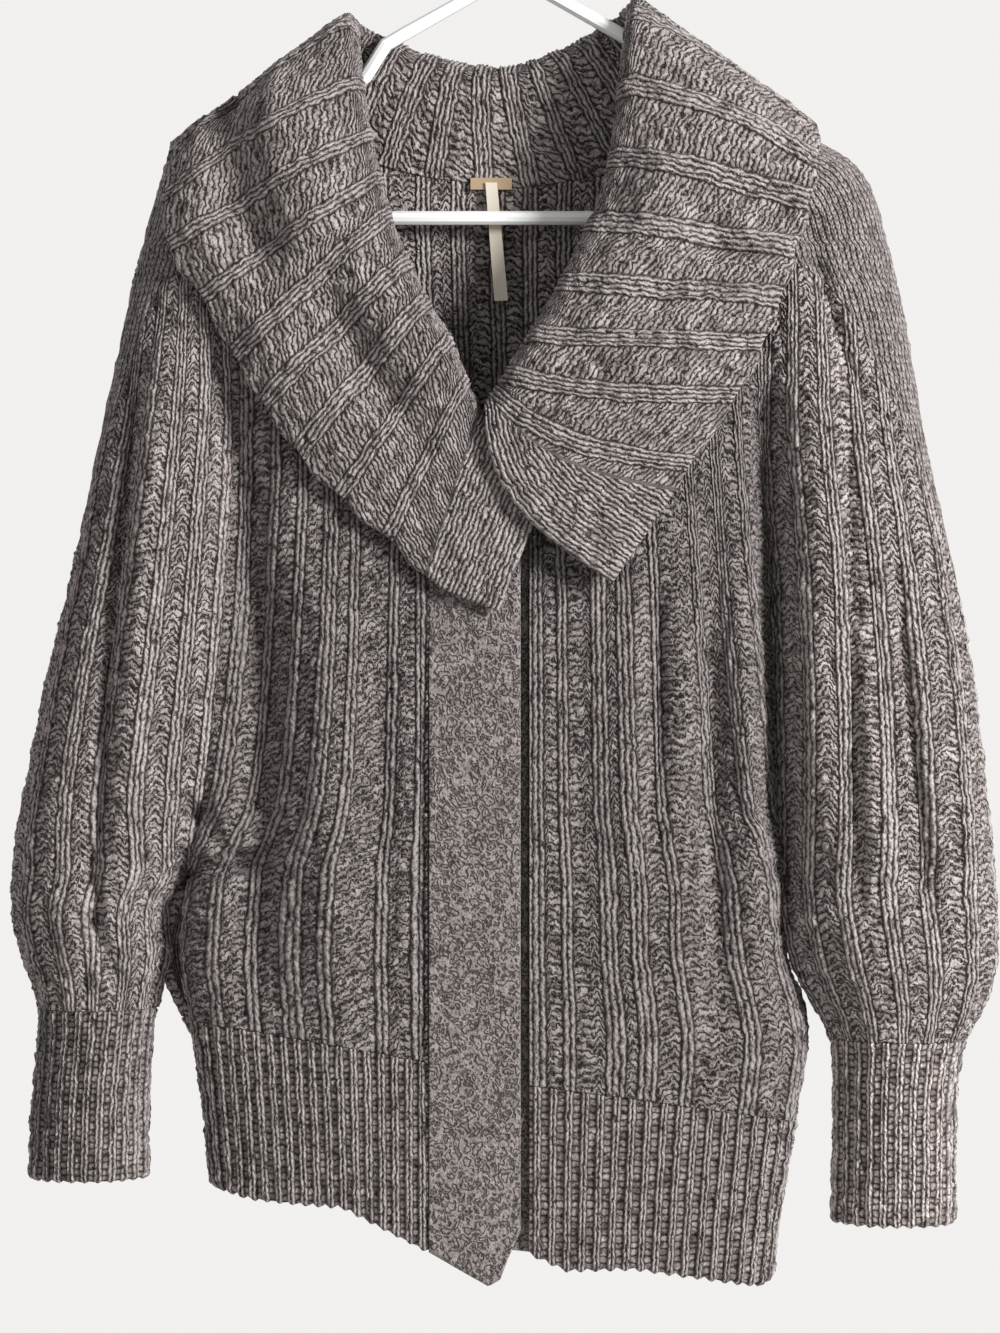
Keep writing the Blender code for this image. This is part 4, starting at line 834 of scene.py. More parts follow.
# %% Knit relief
def relief_tree(name):
    """Geometry tree that raises one kind of knitting on a wall."""
    settings = KNIT_INPUTS[3:]
    tree, g, ins, outs = new_group(
        "raise " + name, "GeometryNodeTree",
        [("Geometry", "Geometry", None), ("Finish", "Material", None), ("Rise", "Float", 1.4)]
        + [(label, "Float", value) for label, value in settings], [("Geometry", "Geometry")])
    kept = {}
    for label in ("stitch", "lift"):
        kept[label] = g.node("GeometryNodeInputNamedAttribute", data_type="FLOAT_VECTOR")
        kept[label].inputs["Name"].default_value = label
    position = g.node("GeometryNodeInputPosition").outputs[0]
    given = knitting_values(g, kept["stitch"].outputs[0], position)
    given.update((label, ins[label]) for label, _ in settings)
    height = g.node("GeometryNodeGroup", node_tree=MESH_STITCH[name])
    for label, value in given.items():
        g.feed(height.inputs[label], value)
    rise = g.times(g.times(height.outputs["Height"], ins["Rise"]), MM)
    move = g.node("GeometryNodeSetPosition", {"Geometry": ins["Geometry"],
                                              "Offset": g.scaled(kept["lift"].outputs[0], rise)})
    real = g.node("GeometryNodeRealizeInstances", {0: move.outputs[0]})
    dress = g.node("GeometryNodeSetMaterial", {"Geometry": real.outputs[0], "Material": ins["Finish"]})
    g.feed(outs["Geometry"], dress.outputs[0])
    return tree


RELIEF = {name: relief_tree(name) for name in STITCHES}
print("relief trees:", {name: len(tree.nodes) for name, tree in RELIEF.items()})


def raise_knit(piece, name, finish, rise, settings):
    """Runs the relief tree on a wall and keeps the result as a plain mesh."""
    modifier = piece.modifiers.new("knit relief", "NODES")
    modifier.node_group = RELIEF[name]
    wanted = {"Finish": finish, "Rise": rise, **settings}
    for item in modifier.node_group.interface.items_tree:
        if item.in_out == "INPUT" and item.name in wanted:
            modifier[item.identifier] = wanted[item.name]
    mesh = bpy.data.meshes.new_from_object(piece.evaluated_get(bpy.context.evaluated_depsgraph_get()))
    piece.modifiers.clear()
    bare = piece.data
    piece.data = mesh
    bpy.data.meshes.remove(bare)
    mesh.name = piece.name

# %% [markdown]
# ## Marled wool
# The yarn is spun from light and dark fibres together, so each strand is flecked along
# its length. Little light gets between the strands, so the gaps are painted dark as shade
# and the raised strands a little lighter as painted light. A thin halo of loose fibres
# catches the light at grazing angles.

# %% Yarn colours
# Painted shade: the near black that fills the gaps between strands, where little light gets in.
PAINTED_GAP_SHADE = (0.020, 0.015, 0.013, 1.0)       # between the strands
DARK_FIBRE = (0.110, 0.091, 0.086, 1.0)
GREY_FIBRE = (0.276, 0.237, 0.227, 1.0)
LIGHT_FIBRE = (0.510, 0.456, 0.440, 1.0)


def marl_group():
    """Colours a knitted surface from the height of its strands, with painted shade in the gaps, painted
    light on raised strands and a painted lightness for each piece.
    """
    inputs = [("Position", "Vector", None), ("Height", "Float", 0.5), ("Strand", "Float", 0.5),
              ("Number", "Float", 0.0), ("Gap", "Float", 0.5), ("Lightness", "Float", 1.0)]
    group, g, ins, outs = new_group("marled wool", "ShaderNodeTree", inputs,
                                    [("Colour", "Color"), ("Fibre", "Float")])
    fleck = g.noise(ins["Position"], 620.0, 2.0, 0.6)
    patch = g.noise(ins["Position"], 95.0)
    fine = g.noise(ins["Position"], 2100.0)
    each = g.chance(ins["Number"], 0.0, 5.0)
    tone = g.add(g.times(fleck, 0.75), g.add(g.times(patch, 0.35), g.times(each, 0.16)))
    # Painted light: raised strands get a lighter tone, as crests catch more light.
    tone = g.add(tone, g.times(ins["Height"], 0.24))
    dark = g.blend_colours(g.ease(tone, 0.42, 0.72), DARK_FIBRE, GREY_FIBRE)
    light = g.blend_colours(g.ease(tone, 0.66, 1.0), dark, LIGHT_FIBRE)
    # Painted shade: the sides of a strand below the Gap height fade to the painted gap shade.
    shade = g.ease(ins["Strand"], g.plus_times(ins["Gap"], 1.0, -0.9), ins["Gap"])
    colour = g.blend_colours(shade, PAINTED_GAP_SHADE, light)
    # Painted light and shade: each piece is made lighter or darker for how the light falls on it, and fine
    # fibres make it uneven.
    painted_light_and_fibres = g.times(ins["Lightness"], g.plus_times(fine, 0.5, 0.75))
    colour = g.blend_colours(1.0, colour, g.vector(painted_light_and_fibres, painted_light_and_fibres, painted_light_and_fibres), "MULTIPLY")
    g.feed(outs["Colour"], colour)
    g.feed(outs["Fibre"], fine)
    return group


MARL = marl_group()

# %% [markdown]
# ## A finish for each knit
# The finish works the same stitches out once more, finer than the mesh can hold, and takes
# the shading of the strands and the colours of the yarn from them.

# %% Finish of a knit
# Below this height the sides of a strand are painted in shade.
GAP = 0.9                   # height of a strand below which its sides turn dark


def knit_finish(name, kind, settings, depth, painted_lightness):
    """Material of one kind of knitting in marled wool."""
    finish = bpy.data.materials.new(name)
    finish.use_nodes = True
    g = Graph(finish.node_tree)
    place = g.node("ShaderNodeAttribute", attribute_name="stitch")
    where = g.node("ShaderNodeTexCoord").outputs["Object"]
    knit = g.node("ShaderNodeGroup", node_tree=SHADE_STITCH[kind])
    for label, value in {**knitting_values(g, place.outputs["Vector"], where), **settings}.items():
        g.feed(knit.inputs[label], value)
    wool = g.node("ShaderNodeGroup", node_tree=MARL)
    heights = {label: knit.outputs[label] for label in ("Height", "Strand", "Number")}
    for label, value in {"Position": where, "Gap": GAP, "Lightness": painted_lightness, **heights}.items():
        g.feed(wool.inputs[label], value)
    surface = g.plus_times(wool.outputs["Fibre"], 0.14, knit.outputs["Height"])
    bump = g.node("ShaderNodeBump", {"Distance": depth * MM, "Strength": 1.0, "Height": surface})
    looks = {"Base Color": wool.outputs["Colour"], "Normal": bump.outputs[0], "Roughness": 0.92,
             "Specular IOR Level": 0.12, "Sheen Weight": 0.22, "Sheen Roughness": 0.45,
             "Sheen Tint": (0.86, 0.82, 0.80, 1.0)}
    shader = finish.node_tree.nodes["Principled BSDF"]
    for label, value in looks.items():
        g.feed(shader.inputs[label], value)
    return finish

# %% [markdown]
# ## The kinds of knitting
# Each kind of knitting on the garment is only another set of values for the same stitches:
# ribs with slanting bars on the body, the sleeves and the collar, narrow ribs on hem and
# cuffs, plain knitting on the shoulder strips, and seed stitch on the front bands.

# %% Table of knits
BODY_RIGHT_KNIT = {"Tilt": -0.6, "Wale": 16.0, "Arc": 0.6, "Tilt spread": 0.5}
BODY_LEFT_KNIT = {"Seed": 3.0, "Wale": 7.5, "Tilt spread": 0.6}
SLEEVE_KNIT = {"Seed": 2.0, "Arc": 1.7, "Wale": 12.0}
COLLAR_KNIT = {"Strand": 3.0, "Strands": 3.0, "More strands": 1.4, "Stitch": 4.2, "Bar pitch": 2.6,
               "Wale": 40.0, "Arc": 0.4, "Tilt": 0.32, "Tilt spread": 0.3, "Bar height": 0.8, "Wander": 5.0,
               "Unevenness": 5.0, "Curl": 3.0, "Seed": 4.0}
ONE_BY_ONE = {"Strand": 2.6, "More strands": 0.0, "Stitch": 4.2, "Nick": 0.5, "Bar pitch": 4.0, "Arc": 0.0,
              "Tilt spread": 0.0, "Bar height": 0.1, "Wander": 2.0, "Unevenness": 4.0, "Curl": 3.0}
PLAIN = {"Strand": 2.5, "More strands": 0.0, "Stitch": 4.2, "Nick": 0.75, "Wander": 2.5, "Unevenness": 6.0,
         "Pits": 0.6, "Groove": 1.0, "Rib rise": 0.0}
SEED = {"Wale": 6.0, "Bar pitch": 0.19}
# The lightness of each knit is painted light and shade: the same yarn is painted darker on the body than on
# the sleeves, and the two cuffs differ only by it, for how the light falls on each piece.
KNITS = {                   # stitches, their settings, rise, depth of the shading and lightness
    "body knit right": ("rib bands", BODY_RIGHT_KNIT, 2.0, 1.8, 0.70),
    "body knit left": ("rib bands", BODY_LEFT_KNIT, 2.0, 1.8, 0.68),
    "back knit": ("rib bands", BODY_LEFT_KNIT, 2.0, 1.8, 0.95),
    "sleeve knit": ("rib bands", SLEEVE_KNIT, 2.0, 1.8, 1.0),
    "collar knit": ("rib bands", COLLAR_KNIT, 1.8, 1.8, 0.9),
    "hem knit": ("rib bands", ONE_BY_ONE, 2.0, 1.8, 0.92),
    "cuff knit right": ("rib bands", ONE_BY_ONE, 2.0, 1.8, 1.0),
    "cuff knit left": ("rib bands", ONE_BY_ONE, 2.0, 1.8, 1.35),
    "plain knit": ("rib bands", PLAIN, 1.3, 1.8, 0.82),
    "seed stitch": ("seed stitch", SEED, 0.8, 1.4, 0.72),
}
FINISHES = {name: knit_finish(name, kind, settings, depth, painted_lightness)
            for name, (kind, settings, _, depth, painted_lightness) in KNITS.items()}
print("finishes:", ", ".join(FINISHES))

# %% [markdown]
# ## Fronts and back
# A maker knits each panel from the hem up. Its ribs are at uneven places, and they keep
# to the same stitch all the way, so they fan where the cloth is wide. The places are
# given in millimetres at one level, and each point's place in the knitting comes from them.

# %% Body panels
CHEST_LEVEL = 480           # level at which the width of the body is measured
FRONT_STEP = 1.6            # distance between points of the fine outside
BACK_STEP = 2.4
RIBS_FRONT = {              # level, and the place in x of each rib at that level
    "left": (660, (12, 32, 57.5, 75, 96.5, 132, 158)),
    "right": (480, (-54, -70, -94, -109, -127, -144, -163)),
}
RIBS_BACK = (480, (-163, -140, -117, -98, -77, -52, -30, -6, 15, 36, 58, 82, 101, 126, 149))


def rib_count(shares, ribs):
    """Repeat number at each share, which is a whole number and a half on a rib."""
    spaced = np.concatenate(([2 * ribs[0] - ribs[1]], ribs, [2 * ribs[-1] - ribs[-2]]))
    return np.interp(shares, spaced, np.arange(len(spaced)) - 0.5)


def knitting(repeat, along, width):
    """Place in the knitting for each point: its repeat, millimetres along and the repeat's width."""
    return np.stack(np.broadcast_arrays(repeat, along, width), axis=-1)


def stitch_places(shares, ribs, drops, length):
    """Place in the knitting for each point of a panel with ribs at the given shares."""
    count = rib_count(shares, ribs)
    return knitting(count, drops, length / np.gradient(count, shares))


def rows_between(top, bottom, step):
    """Rows from 0 to 1 between two slanted edges, and the level of each point on them."""
    rows = spread(float((bottom - top).max()), step)[:, None]
    return rows, top * (1 - rows) + bottom * rows


def places_to_shares(surface, ribs):
    """Shares at which the given x places lie on a panel."""
    drop, places = ribs
    along = np.linspace(0, 1, 400)
    x = surface.at(along, np.full(400, float(drop)))[:, 0]
    order = np.argsort(x)
    return np.sort(np.interp(places, x[order], along[order]))


def scallop(repeat, rows, depth):
    """How far the ribs reach past a free edge: it grows only in the last rows."""
    return depth * np.cos(2 * math.pi * repeat) * rows ** 9


def section_length(surface, drop):
    """Length of a panel's section at one level."""
    line = surface.at(np.linspace(0, 1, 200), np.full(200, float(drop)))
    return float(np.linalg.norm(np.diff(line, axis=0), axis=1).sum())


def seam_direction(side, drop, face, body):
    """Way into the cloth along the armhole and side seam, for the body or for the sleeve."""
    towards = -side["sign"] if body else side["sign"]
    share = np.clip((drop - (side["underarm"] - TURN)) / TURN, 0, 1)
    return unit(np.stack((towards * share, np.zeros_like(share), -face * (1 - share)), axis=-1))


def body_grid(surface, neck, hem, face, step):
    """Fine points of a front or back between its top edge and the hem."""
    length = section_length(surface, CHEST_LEVEL)
    shares = spread(length, step)
    top = edge_drop(neck, surface, shares) + SEAM / 2
    bottom = edge_drop(hem, surface, shares, "top") - SEAM
    drops = rows_between(top, bottom, step)[1]
    return shares, press_folds(surface.at(shares[None, :], drops), face), length


def clear_of_seams(points, sign):
    """Leaves half a seam's width free at the first and last columns."""
    points[:, 0, 0] += sign * SEAM / 2
    points[:, -1, 0] -= sign * SEAM / 2
    return points

# %% [markdown]
# ## Knitting the panels
# Each panel is made from its neckline down to its hem. Its sewn edges are let down only a
# little, so that a seam shows as a crease and not as a gap.

# %% Knit the panels
CREASE = 0.7                # how far a sewn edge is let down
ROUND = 2.6                 # how far a free edge is let down
SEWN_BELOW = (0, CREASE, CREASE, CREASE)
edges = {}
for name, side in SIDES.items():
    surface = surfaces["front_" + name]
    shares, points, length = body_grid(surface, side["neck"], side["hem"], FRONT, FRONT_STEP)
    points = clear_of_seams(points, side["sign"])
    ribs = places_to_shares(surface, RIBS_FRONT[name])
    stitch = stitch_places(shares, ribs, points[..., 1], length)
    if name == "left":                  # its ribs lean in towards the armhole
        lean = np.clip((650 - points[..., 1]) / 180, 0, 1.2) * np.clip((shares - 0.6) / 0.4, 0, 1)
        stitch[..., 0] += 1.1 * lean
    inward = {"first_row": (0, 0, 1), "first_column": (0, 0, 1),
              "last_column": seam_direction(side, points[:, -1, 1], FRONT, True)}
    knit_wall("front_" + name, points, side["sign"], stitch, SEWN_BELOW, inward)
    edges[name] = points[0]
hem_back = Table(HEM_COLUMNS, HEM_BACK)
shares, points, length = body_grid(surfaces["back"], Table(NECK_COLUMNS, NECK_BACK), hem_back, BACK,
                                   BACK_STEP)
points = clear_of_seams(points, 1)
inward = {"first_row": (0, 0, -1),
          "first_column": seam_direction(SIDES["right"], points[:, 0, 1], BACK, True),
          "last_column": seam_direction(SIDES["left"], points[:, -1, 1], BACK, True)}
stitch = stitch_places(shares, places_to_shares(surfaces["back"], RIBS_BACK), points[..., 1], length)
knit_wall("back", points, -1, stitch, SEWN_BELOW, inward, every=2)
edges["back"] = points[0]
tell("panels:", ("front_right", "front_left", "back"))

# %% [markdown]
# ## Ribbed hem
# The hem is a plain one-by-one rib. It is knitted a little tighter than the body, so the
# body puffs out above it.

# %% Hems
HEM_LEVEL = 760             # level at which the width of the hem is measured
HEM_STEPS = {FRONT: 1.25, BACK: 1.6}
RIBS_HEM_FRONT = 20
RIBS_HEM_BACK = 44
ROW_TO_RIB = 1.3            # rows of a hem may be this much further apart than its columns


def hem_wall(name, surface, hem, face, outward, ribs, inward, shift):
    """Ribbed hem below a body panel, with a round lower edge."""
    length = section_length(surface, HEM_LEVEL)
    shares = spread(length, HEM_STEPS[face])
    top = edge_drop(hem, surface, shares, "top") + SEAM
    bottom = edge_drop(hem, surface, shares, "bottom")
    rows, drops = rows_between(top, bottom, HEM_STEPS[face] * ROW_TO_RIB)
    repeat = np.broadcast_to(shares * ribs, drops.shape)
    drops = drops - scallop(repeat, rows, 1.2)
    points = press_folds(surface.at(shares[None, :], drops), face)
    points[:, 0, 0] += shift
    knit_wall(name, points, outward, knitting(repeat, drops, length / ribs),
              (CREASE, ROUND, CREASE, CREASE), inward)


for name, side in SIDES.items():
    inward = {"last_column": (-side["sign"], 0, 0), "first_column": (0, 0, 1)}
    hem_wall("hem_front_" + name, surfaces["front_" + name], side["hem"], FRONT, side["sign"],
             RIBS_HEM_FRONT, inward, side["sign"] * SEAM / 2)
hem_wall("hem_back", surfaces["back"], hem_back, BACK, -1, RIBS_HEM_BACK,
         {"first_column": (1, 0, 0), "last_column": (-1, 0, 0)}, 0)
tell("hems:", ("hem_front_right", "hem_front_left", "hem_back"))

# %% [markdown]
# ## Front bands
# The bands are knitted on their own in seed stitch, which lies flat and doesn't curl,
# and sewn to the edges of the fronts.

# %% Front bands
BAND_STEPS = (1.5, 1.7)     # distance between points, across and down


def band_wall(name, left_x, top_rows, bottom_rows, depth):
    """Narrow front band."""
    across = left_x + BAND_WIDTH * spread(BAND_WIDTH, BAND_STEPS[0])
    across[0] += SEAM / 2
    across[-1] -= SEAM / 2
    top, bottom = (np.interp(across, *np.array(rows, float).T) for rows in (top_rows, bottom_rows))
    drops = rows_between(top, bottom, BAND_STEPS[1])[1]
    x = np.broadcast_to(across, drops.shape)
    points = np.stack((x, drops, SIDES["right"]["body"].read("front", drops) + depth), axis=-1)
    inward = {edge: (0, 0, 1) for edge in ("first_row", "first_column", "last_column")}
    edges[name] = points[0]
    knit_wall(name, points, 1, knitting(x - left_x, drops, 1.0), (0, ROUND, CREASE, ROUND), inward)


band_wall("band_right", -49.0, BAND_TOP_RIGHT, BAND_BOTTOM_RIGHT, -1.0)
band_wall("band_left", -44.0, BAND_TOP_LEFT, BAND_BOTTOM_LEFT, 6.0)
tell("bands:", ("band_right", "band_left"))

# %% [markdown]
# ## Sleeves and cuffs
# The sleeves are wide and drop from the shoulder into long ribbed cuffs. The top of each
# sleeve is cut away where the shoulder strip runs down it to a point.

# %% Sleeves and cuffs
ELBOW_LEVEL = 560           # level at which the width of a sleeve is measured
MID_CUFF = 60               # and how far down its cuff
SLEEVE_STEP = 1.75
CUFF_STEPS = (1.3, 1.6)
RIBS_SLEEVE = (0.01, 0.085, 0.165, 0.25, 0.325, 0.41, 0.5, 0.585, 0.665, 0.75, 0.83, 0.915, 0.99)
STRIP_TIP = 0.485           # share of the sleeve at which the shoulder strip ends


def strip_start_drop(side, share):
    """Level at which a sleeve column comes out from under the shoulder strip."""
    starts = 0.5 * (1 - side["sleeve"].column["strip"])
    used = [i for i in range(len(starts)) if i == 0 or starts[i] > starts[i - 1]]
    return np.interp(np.minimum(share, 1 - share), starts[used], side["sleeve"].knots[used])


def to_axis(side, points):
    """Level directions from points of a sleeve towards its middle."""
    inner, outer = (side["sleeve"].read(edge, points[:, 1]) for edge in ("inner_x", "outer_x"))
    return unit(np.stack(((inner + outer) / 2 - points[:, 0], np.zeros(len(points)), -points[:, 2]), axis=1))


def press_round(points):
    """Presses the folds of the front and of the back into a piece that goes round a sleeve."""
    front = points[..., 2:] < 0
    return np.where(front, press_folds(points.copy(), FRONT), press_folds(points.copy(), BACK))


def sleeve_wall(name, side, surface):
    """Full sleeve: open towards the body above the underarm and closed below it."""
    length = section_length(surface, ELBOW_LEVEL)
    shares = spread(length, SLEEVE_STEP)
    from_edge = np.minimum(shares, 1 - shares)
    top = strip_start_drop(side, np.minimum(from_edge, STRIP_TIP)) + SEAM / 2
    drops = rows_between(top, side["cuff"][0] - SEAM / 2, SLEEVE_STEP)[1]
    points = press_round(surface.at(shares[None, :], drops))
    points[:, [0, -1], 0] += side["sign"] * SEAM / 2
    inward = {"first_row": to_axis(side, points[0]),
              "first_column": seam_direction(side, drops[:, 0], FRONT, False),
              "last_column": seam_direction(side, drops[:, -1], BACK, False),
              "last_row": to_axis(side, points[-1])}
    stitch = stitch_places(shares, RIBS_SLEEVE, drops, length)
    knit_wall(name, points, side["sign"], stitch, (0.8, CREASE, CREASE, CREASE), inward)


def cuff_wall(name, side, surface, ribs=22):
    """Ribbed cuff, a closed tube with a round end."""
    start, end = side["cuff"]
    length = section_length(surface, start + MID_CUFF)
    start += SEAM
    shares = spread(length, CUFF_STEPS[0])
    rows = spread(end - start, CUFF_STEPS[1])[:, None]
    repeat = np.broadcast_to(shares * ribs, (len(rows), len(shares)))
    drops = start + rows * (end - start) - scallop(repeat, rows, 1.0)
    points = surface.at(shares[None, :], drops)
    inward = {"first_row": to_axis(side, points[0]),
              "first_column": (side["sign"], 0, 0), "last_column": (side["sign"], 0, 0)}
    knit_wall(name, points, side["sign"], knitting(repeat, drops, length / ribs),
              (CREASE, ROUND, 0.6, 0.6), inward)


for name, side in SIDES.items():
    surface = surfaces["sleeve_" + name]
    sleeve_wall("sleeve_" + name, side, surface)
    cuff_wall("cuff_" + name, side, surface)
    tell("sleeve and cuff:", ("sleeve_" + name, "cuff_" + name))

# %% [markdown]
# ## Shoulder strips
# A plain strip of knitting runs over each shoulder, between the front and the back, and
# narrows to a point down the sleeve. It takes the place of a shoulder seam and carries
# the weight of the garment.

# %% Shoulder strips
STRIP_WIDTH = 90            # about how wide the strip is over the shoulder
STRIP_WALE = 3.5            # width of one column of its plain stitches
STRIP_STEP = 1.6
ROOF_STATIONS = 62          # sections over the shoulder, and down the sleeve
TAIL_STATIONS = 70


def shoulder_edge(edge, side, corner_x):
    """Part of a panel's top edge from its neck corner out to the armhole."""
    run = edge if side["sign"] * (edge[-1, 0] - edge[0, 0]) > 0 else edge[::-1]
    return run[int(np.argmin(np.abs(run[:, 0] - corner_x))):]


def roof_stations(side, front_edge, back_edge, cross, count):
    """Sections of the shoulder strip over the shoulder, from the neck to the armhole."""
    shares = np.linspace(0, 1, count)
    front_line, back_line = (evenly(shoulder_edge(edge, side, corner), shares)
                             for edge, corner in zip((front_edge, back_edge), side["corner"]))
    stations = []
    for share, front_point, back_point in zip(shares, front_line, back_line):
        ridge = (side["ridge"].read("x", share), side["ridge"].read("drop", share), 0.0)
        half_front = bow(ridge, front_point, SLEEVE_ROUNDING, 0)[::-1]
        half_back = bow(ridge, back_point, SLEEVE_ROUNDING, 0)
        stations.append(evenly(np.concatenate((half_front, half_back[1:])), cross))
    return stations


def around_shoulder(count):
    """Directions into the cloth round the neck end of a shoulder strip, front to back."""
    angles = np.radians(np.linspace(-90, 90, count))
    return np.stack((np.zeros_like(angles), np.cos(angles), -np.sin(angles)), axis=1)


def pull(edge, towards):
    """Moves an edge a seam's width towards the next line of points."""
    return edge + unit(towards - edge) * 2 * SEAM


def strip_wall(name, side, sleeve, front_edge, back_edge):
    """Plain strip over the shoulder that narrows to a point down the sleeve."""
    cross = spread(STRIP_WIDTH, STRIP_STEP)
    stations = roof_stations(side, front_edge, back_edge, cross, ROOF_STATIONS)[:-1]
    roof = len(stations)
    for start in np.linspace(0, STRIP_TIP, TAIL_STATIONS):
        drop = strip_start_drop(side, np.array([start]))[0]
        stations.append(sleeve.at(start + (1 - 2 * start) * cross, np.full(len(cross), drop)))
    points = press_round(np.stack(stations))
    points[:, 0] = pull(points[:, 0], points[:, 3])
    points[:, -1] = pull(points[:, -1], points[:, -4])
    inward = {"first_row": around_shoulder(len(cross))}
    for edge, place, way in (("first_column", 0, 1.0), ("last_column", -1, -1.0)):
        on_roof = np.tile((0.0, 0.0, way), (roof, 1))
        inward[edge] = np.concatenate((on_roof, to_axis(side, points[roof:, place])))
    across = run_length(points, 1)
    wales = (across - across[:, -1:] / 2) / STRIP_WALE + 40
    along = run_length(points, 0)[:, [len(cross) // 2]]
    knit_wall(name, points, side["sign"], knitting(wales, along, STRIP_WALE), (0, 0.8, CREASE, CREASE),
              inward, level_rims=False)


for name, side in SIDES.items():
    strip_wall("shoulder_strip_" + name, side, surfaces["sleeve_" + name], edges[name], edges["back"])
tell("strips:", ("shoulder_strip_right", "shoulder_strip_left"))

# %% [markdown]
# ## Shawl collar
# One wide strip is knitted sideways and picked up round the whole neck. It stands up from
# the seam, rolls over and falls on the fronts and the back, where it rests on what is
# below it. Its ribs cross it from the fold to the free edge.

# %% Collar
STAND_STEPS = 2             # points of the coarse section up the stand, round the fold
FOLD_STEPS = 4              # and down the fall
FALL_STEPS = 5
COLLAR_STATIONS = 70
COLLAR_GAP = 1.5            # space between the collar's fall and what it lies on
BEHIND = 0.08               # how far outside the cloth, in metres, the search for it starts
ROUND_SHOULDER = 11         # points of the seam over each shoulder strip
AXES = ("_x", "_drop", "_y")
COLLAR_STEPS = (1.6, 1.5)   # distance between points of the fine outside, round and across


def seam_line(points, inward):
    """Points on the inside face of an edge, each with its direction out through the cloth."""
    inward = np.broadcast_to(np.array(inward, float), points.shape)
    return np.concatenate((points + WALL * inward, -inward), axis=1)


def neckline_path():
    """Seam line of the collar from the top of the right band to the top of the left one."""
    front_in = (0, 0, 1)
    cross = np.linspace(0, 1, ROUND_SHOULDER)
    right, left, back, band = (edges[name] for name in ("right", "left", "back", "band_left"))
    right_end = roof_stations(SIDES["right"], right, back, cross, 3)[0]
    left_end = roof_stations(SIDES["left"], left, back, cross, 3)[0][::-1]
    back_neck = (back[:, 0] > right_end[-1, 0] + 1) & (back[:, 0] < left_end[0, 0] - 1)
    return np.concatenate([
        seam_line(edges["band_right"][::-1], front_in),
        seam_line(right[right[:, 0] > right_end[0, 0] + 1], front_in),
        seam_line(right_end, around_shoulder(ROUND_SHOULDER)),
        seam_line(back[back_neck], (0, 0, -1)),
        seam_line(left_end, around_shoulder(ROUND_SHOULDER)[::-1]),
        seam_line(left[left[:, 0] < left_end[-1, 0] - 1][::-1], front_in),
        seam_line(band[band[:, 0] > -15][::-1], front_in)])

# %% [markdown]
# ## Section of the collar
# The collar is folded over by hand, so its fold is round and never sharp. Each section goes
# up from the seam, half round the fold and down the fall.

# %% Collar section
def facing_way(degrees):
    """Direction out of the cloth: -90 is the front, 0 is up and 90 is the back."""
    turn = np.radians(degrees)
    return np.stack((np.zeros_like(turn), -np.cos(turn), np.sin(turn)), axis=-1)


def drawn_curve(start, pull_to, end):
    """Curve from start to end that is drawn towards a third point."""
    steps = np.linspace(0, 1, 13)[:, None]
    return (1 - steps) ** 2 * start + 2 * steps * (1 - steps) * pull_to + steps**2 * end


def collar_section(seam, station):
    """Section of the collar: up from the seam, round the fold and down the fall."""
    roll, outer = (np.array([station[edge + axis] for axis in AXES]) for edge in ("roll", "outer"))
    radius = station["radius"]
    face = facing_way(station["face"])
    down = outer - roll
    down = unit(down - face * float(down @ face))
    angles = np.linspace(-math.pi / 2, math.pi / 2, FOLD_STEPS + 1)[:, None]
    fold = roll + down * radius - radius * np.cos(angles) * down + radius * np.sin(angles) * face
    stand_pull = fold[0] + down * 0.1 * np.linalg.norm(fold[0] - seam)
    fall_pull = (fold[-1] + outer) / 2 + face * 2 * station["bulge"]
    stand = evenly(drawn_curve(seam, stand_pull, fold[0]), np.linspace(0, 1, STAND_STEPS + 1))[:-1]
    fall = evenly(drawn_curve(fold[-1], fall_pull, outer), np.linspace(0, 1, FALL_STEPS + 1))[1:]
    section = np.concatenate((stand, fold, fall))
    reach = np.clip((section - roll) @ down / np.linalg.norm(outer - roll), 0, 1)
    outside = np.clip((np.arange(len(reach)) - STAND_STEPS) / FOLD_STEPS, 0, 1)
    drawn = station["sweep"] * np.sin(math.pi * reach**0.8) * outside
    return section + np.outer(drawn, np.cross(down, face))

# %% [markdown]
# ## Laying the collar on the shoulders
# Where the fall would sink into the pieces below, it is moved out until it lies just clear
# of them, as cloth lies on cloth. This is done on a coarse grid, which stays smooth.

# %% Collar on the shoulders
def lay_on(points, facing, below):
    """Moves the collar's fall out along its facing until it clears what is below it."""
    trees = []
    for node in below:
        verts = [node.matrix_world @ vert.co for vert in node.data.vertices]
        trees.append(BVHTree.FromPolygons(verts, [tuple(poly.vertices) for poly in node.data.polygons]))
    for i, way in enumerate(facing):
        ray = Vector((way[0], way[2], -way[1]))
        for j in range(STAND_STEPS + FOLD_STEPS, points.shape[1]):
            start = Vector(to_world(points[i, j])) + ray * BEHIND
            reach = [tree.ray_cast(start, -ray, 1.5 * BEHIND)[3] for tree in trees]
            near = min([distance for distance in reach if distance is not None], default=1.0)
            points[i, j] += way * max(0.0, WALL + COLLAR_GAP - (near - BEHIND) / MM)
    return points


def refine(points, where, axis):
    """Smooth curve through a coarse grid along one direction, read at places from 0 to 1."""
    grid = np.moveaxis(points, axis, 0)
    tangent = np.gradient(grid, axis=0)
    place = np.clip(where, 0, 1) * (len(grid) - 1)
    i = np.clip(place.astype(int), 0, len(grid) - 2)
    t = (place - i).reshape((-1,) + (1,) * (grid.ndim - 1))
    return np.moveaxis(join(t, grid[i], grid[i + 1], tangent[i], tangent[i + 1]), 0, axis)


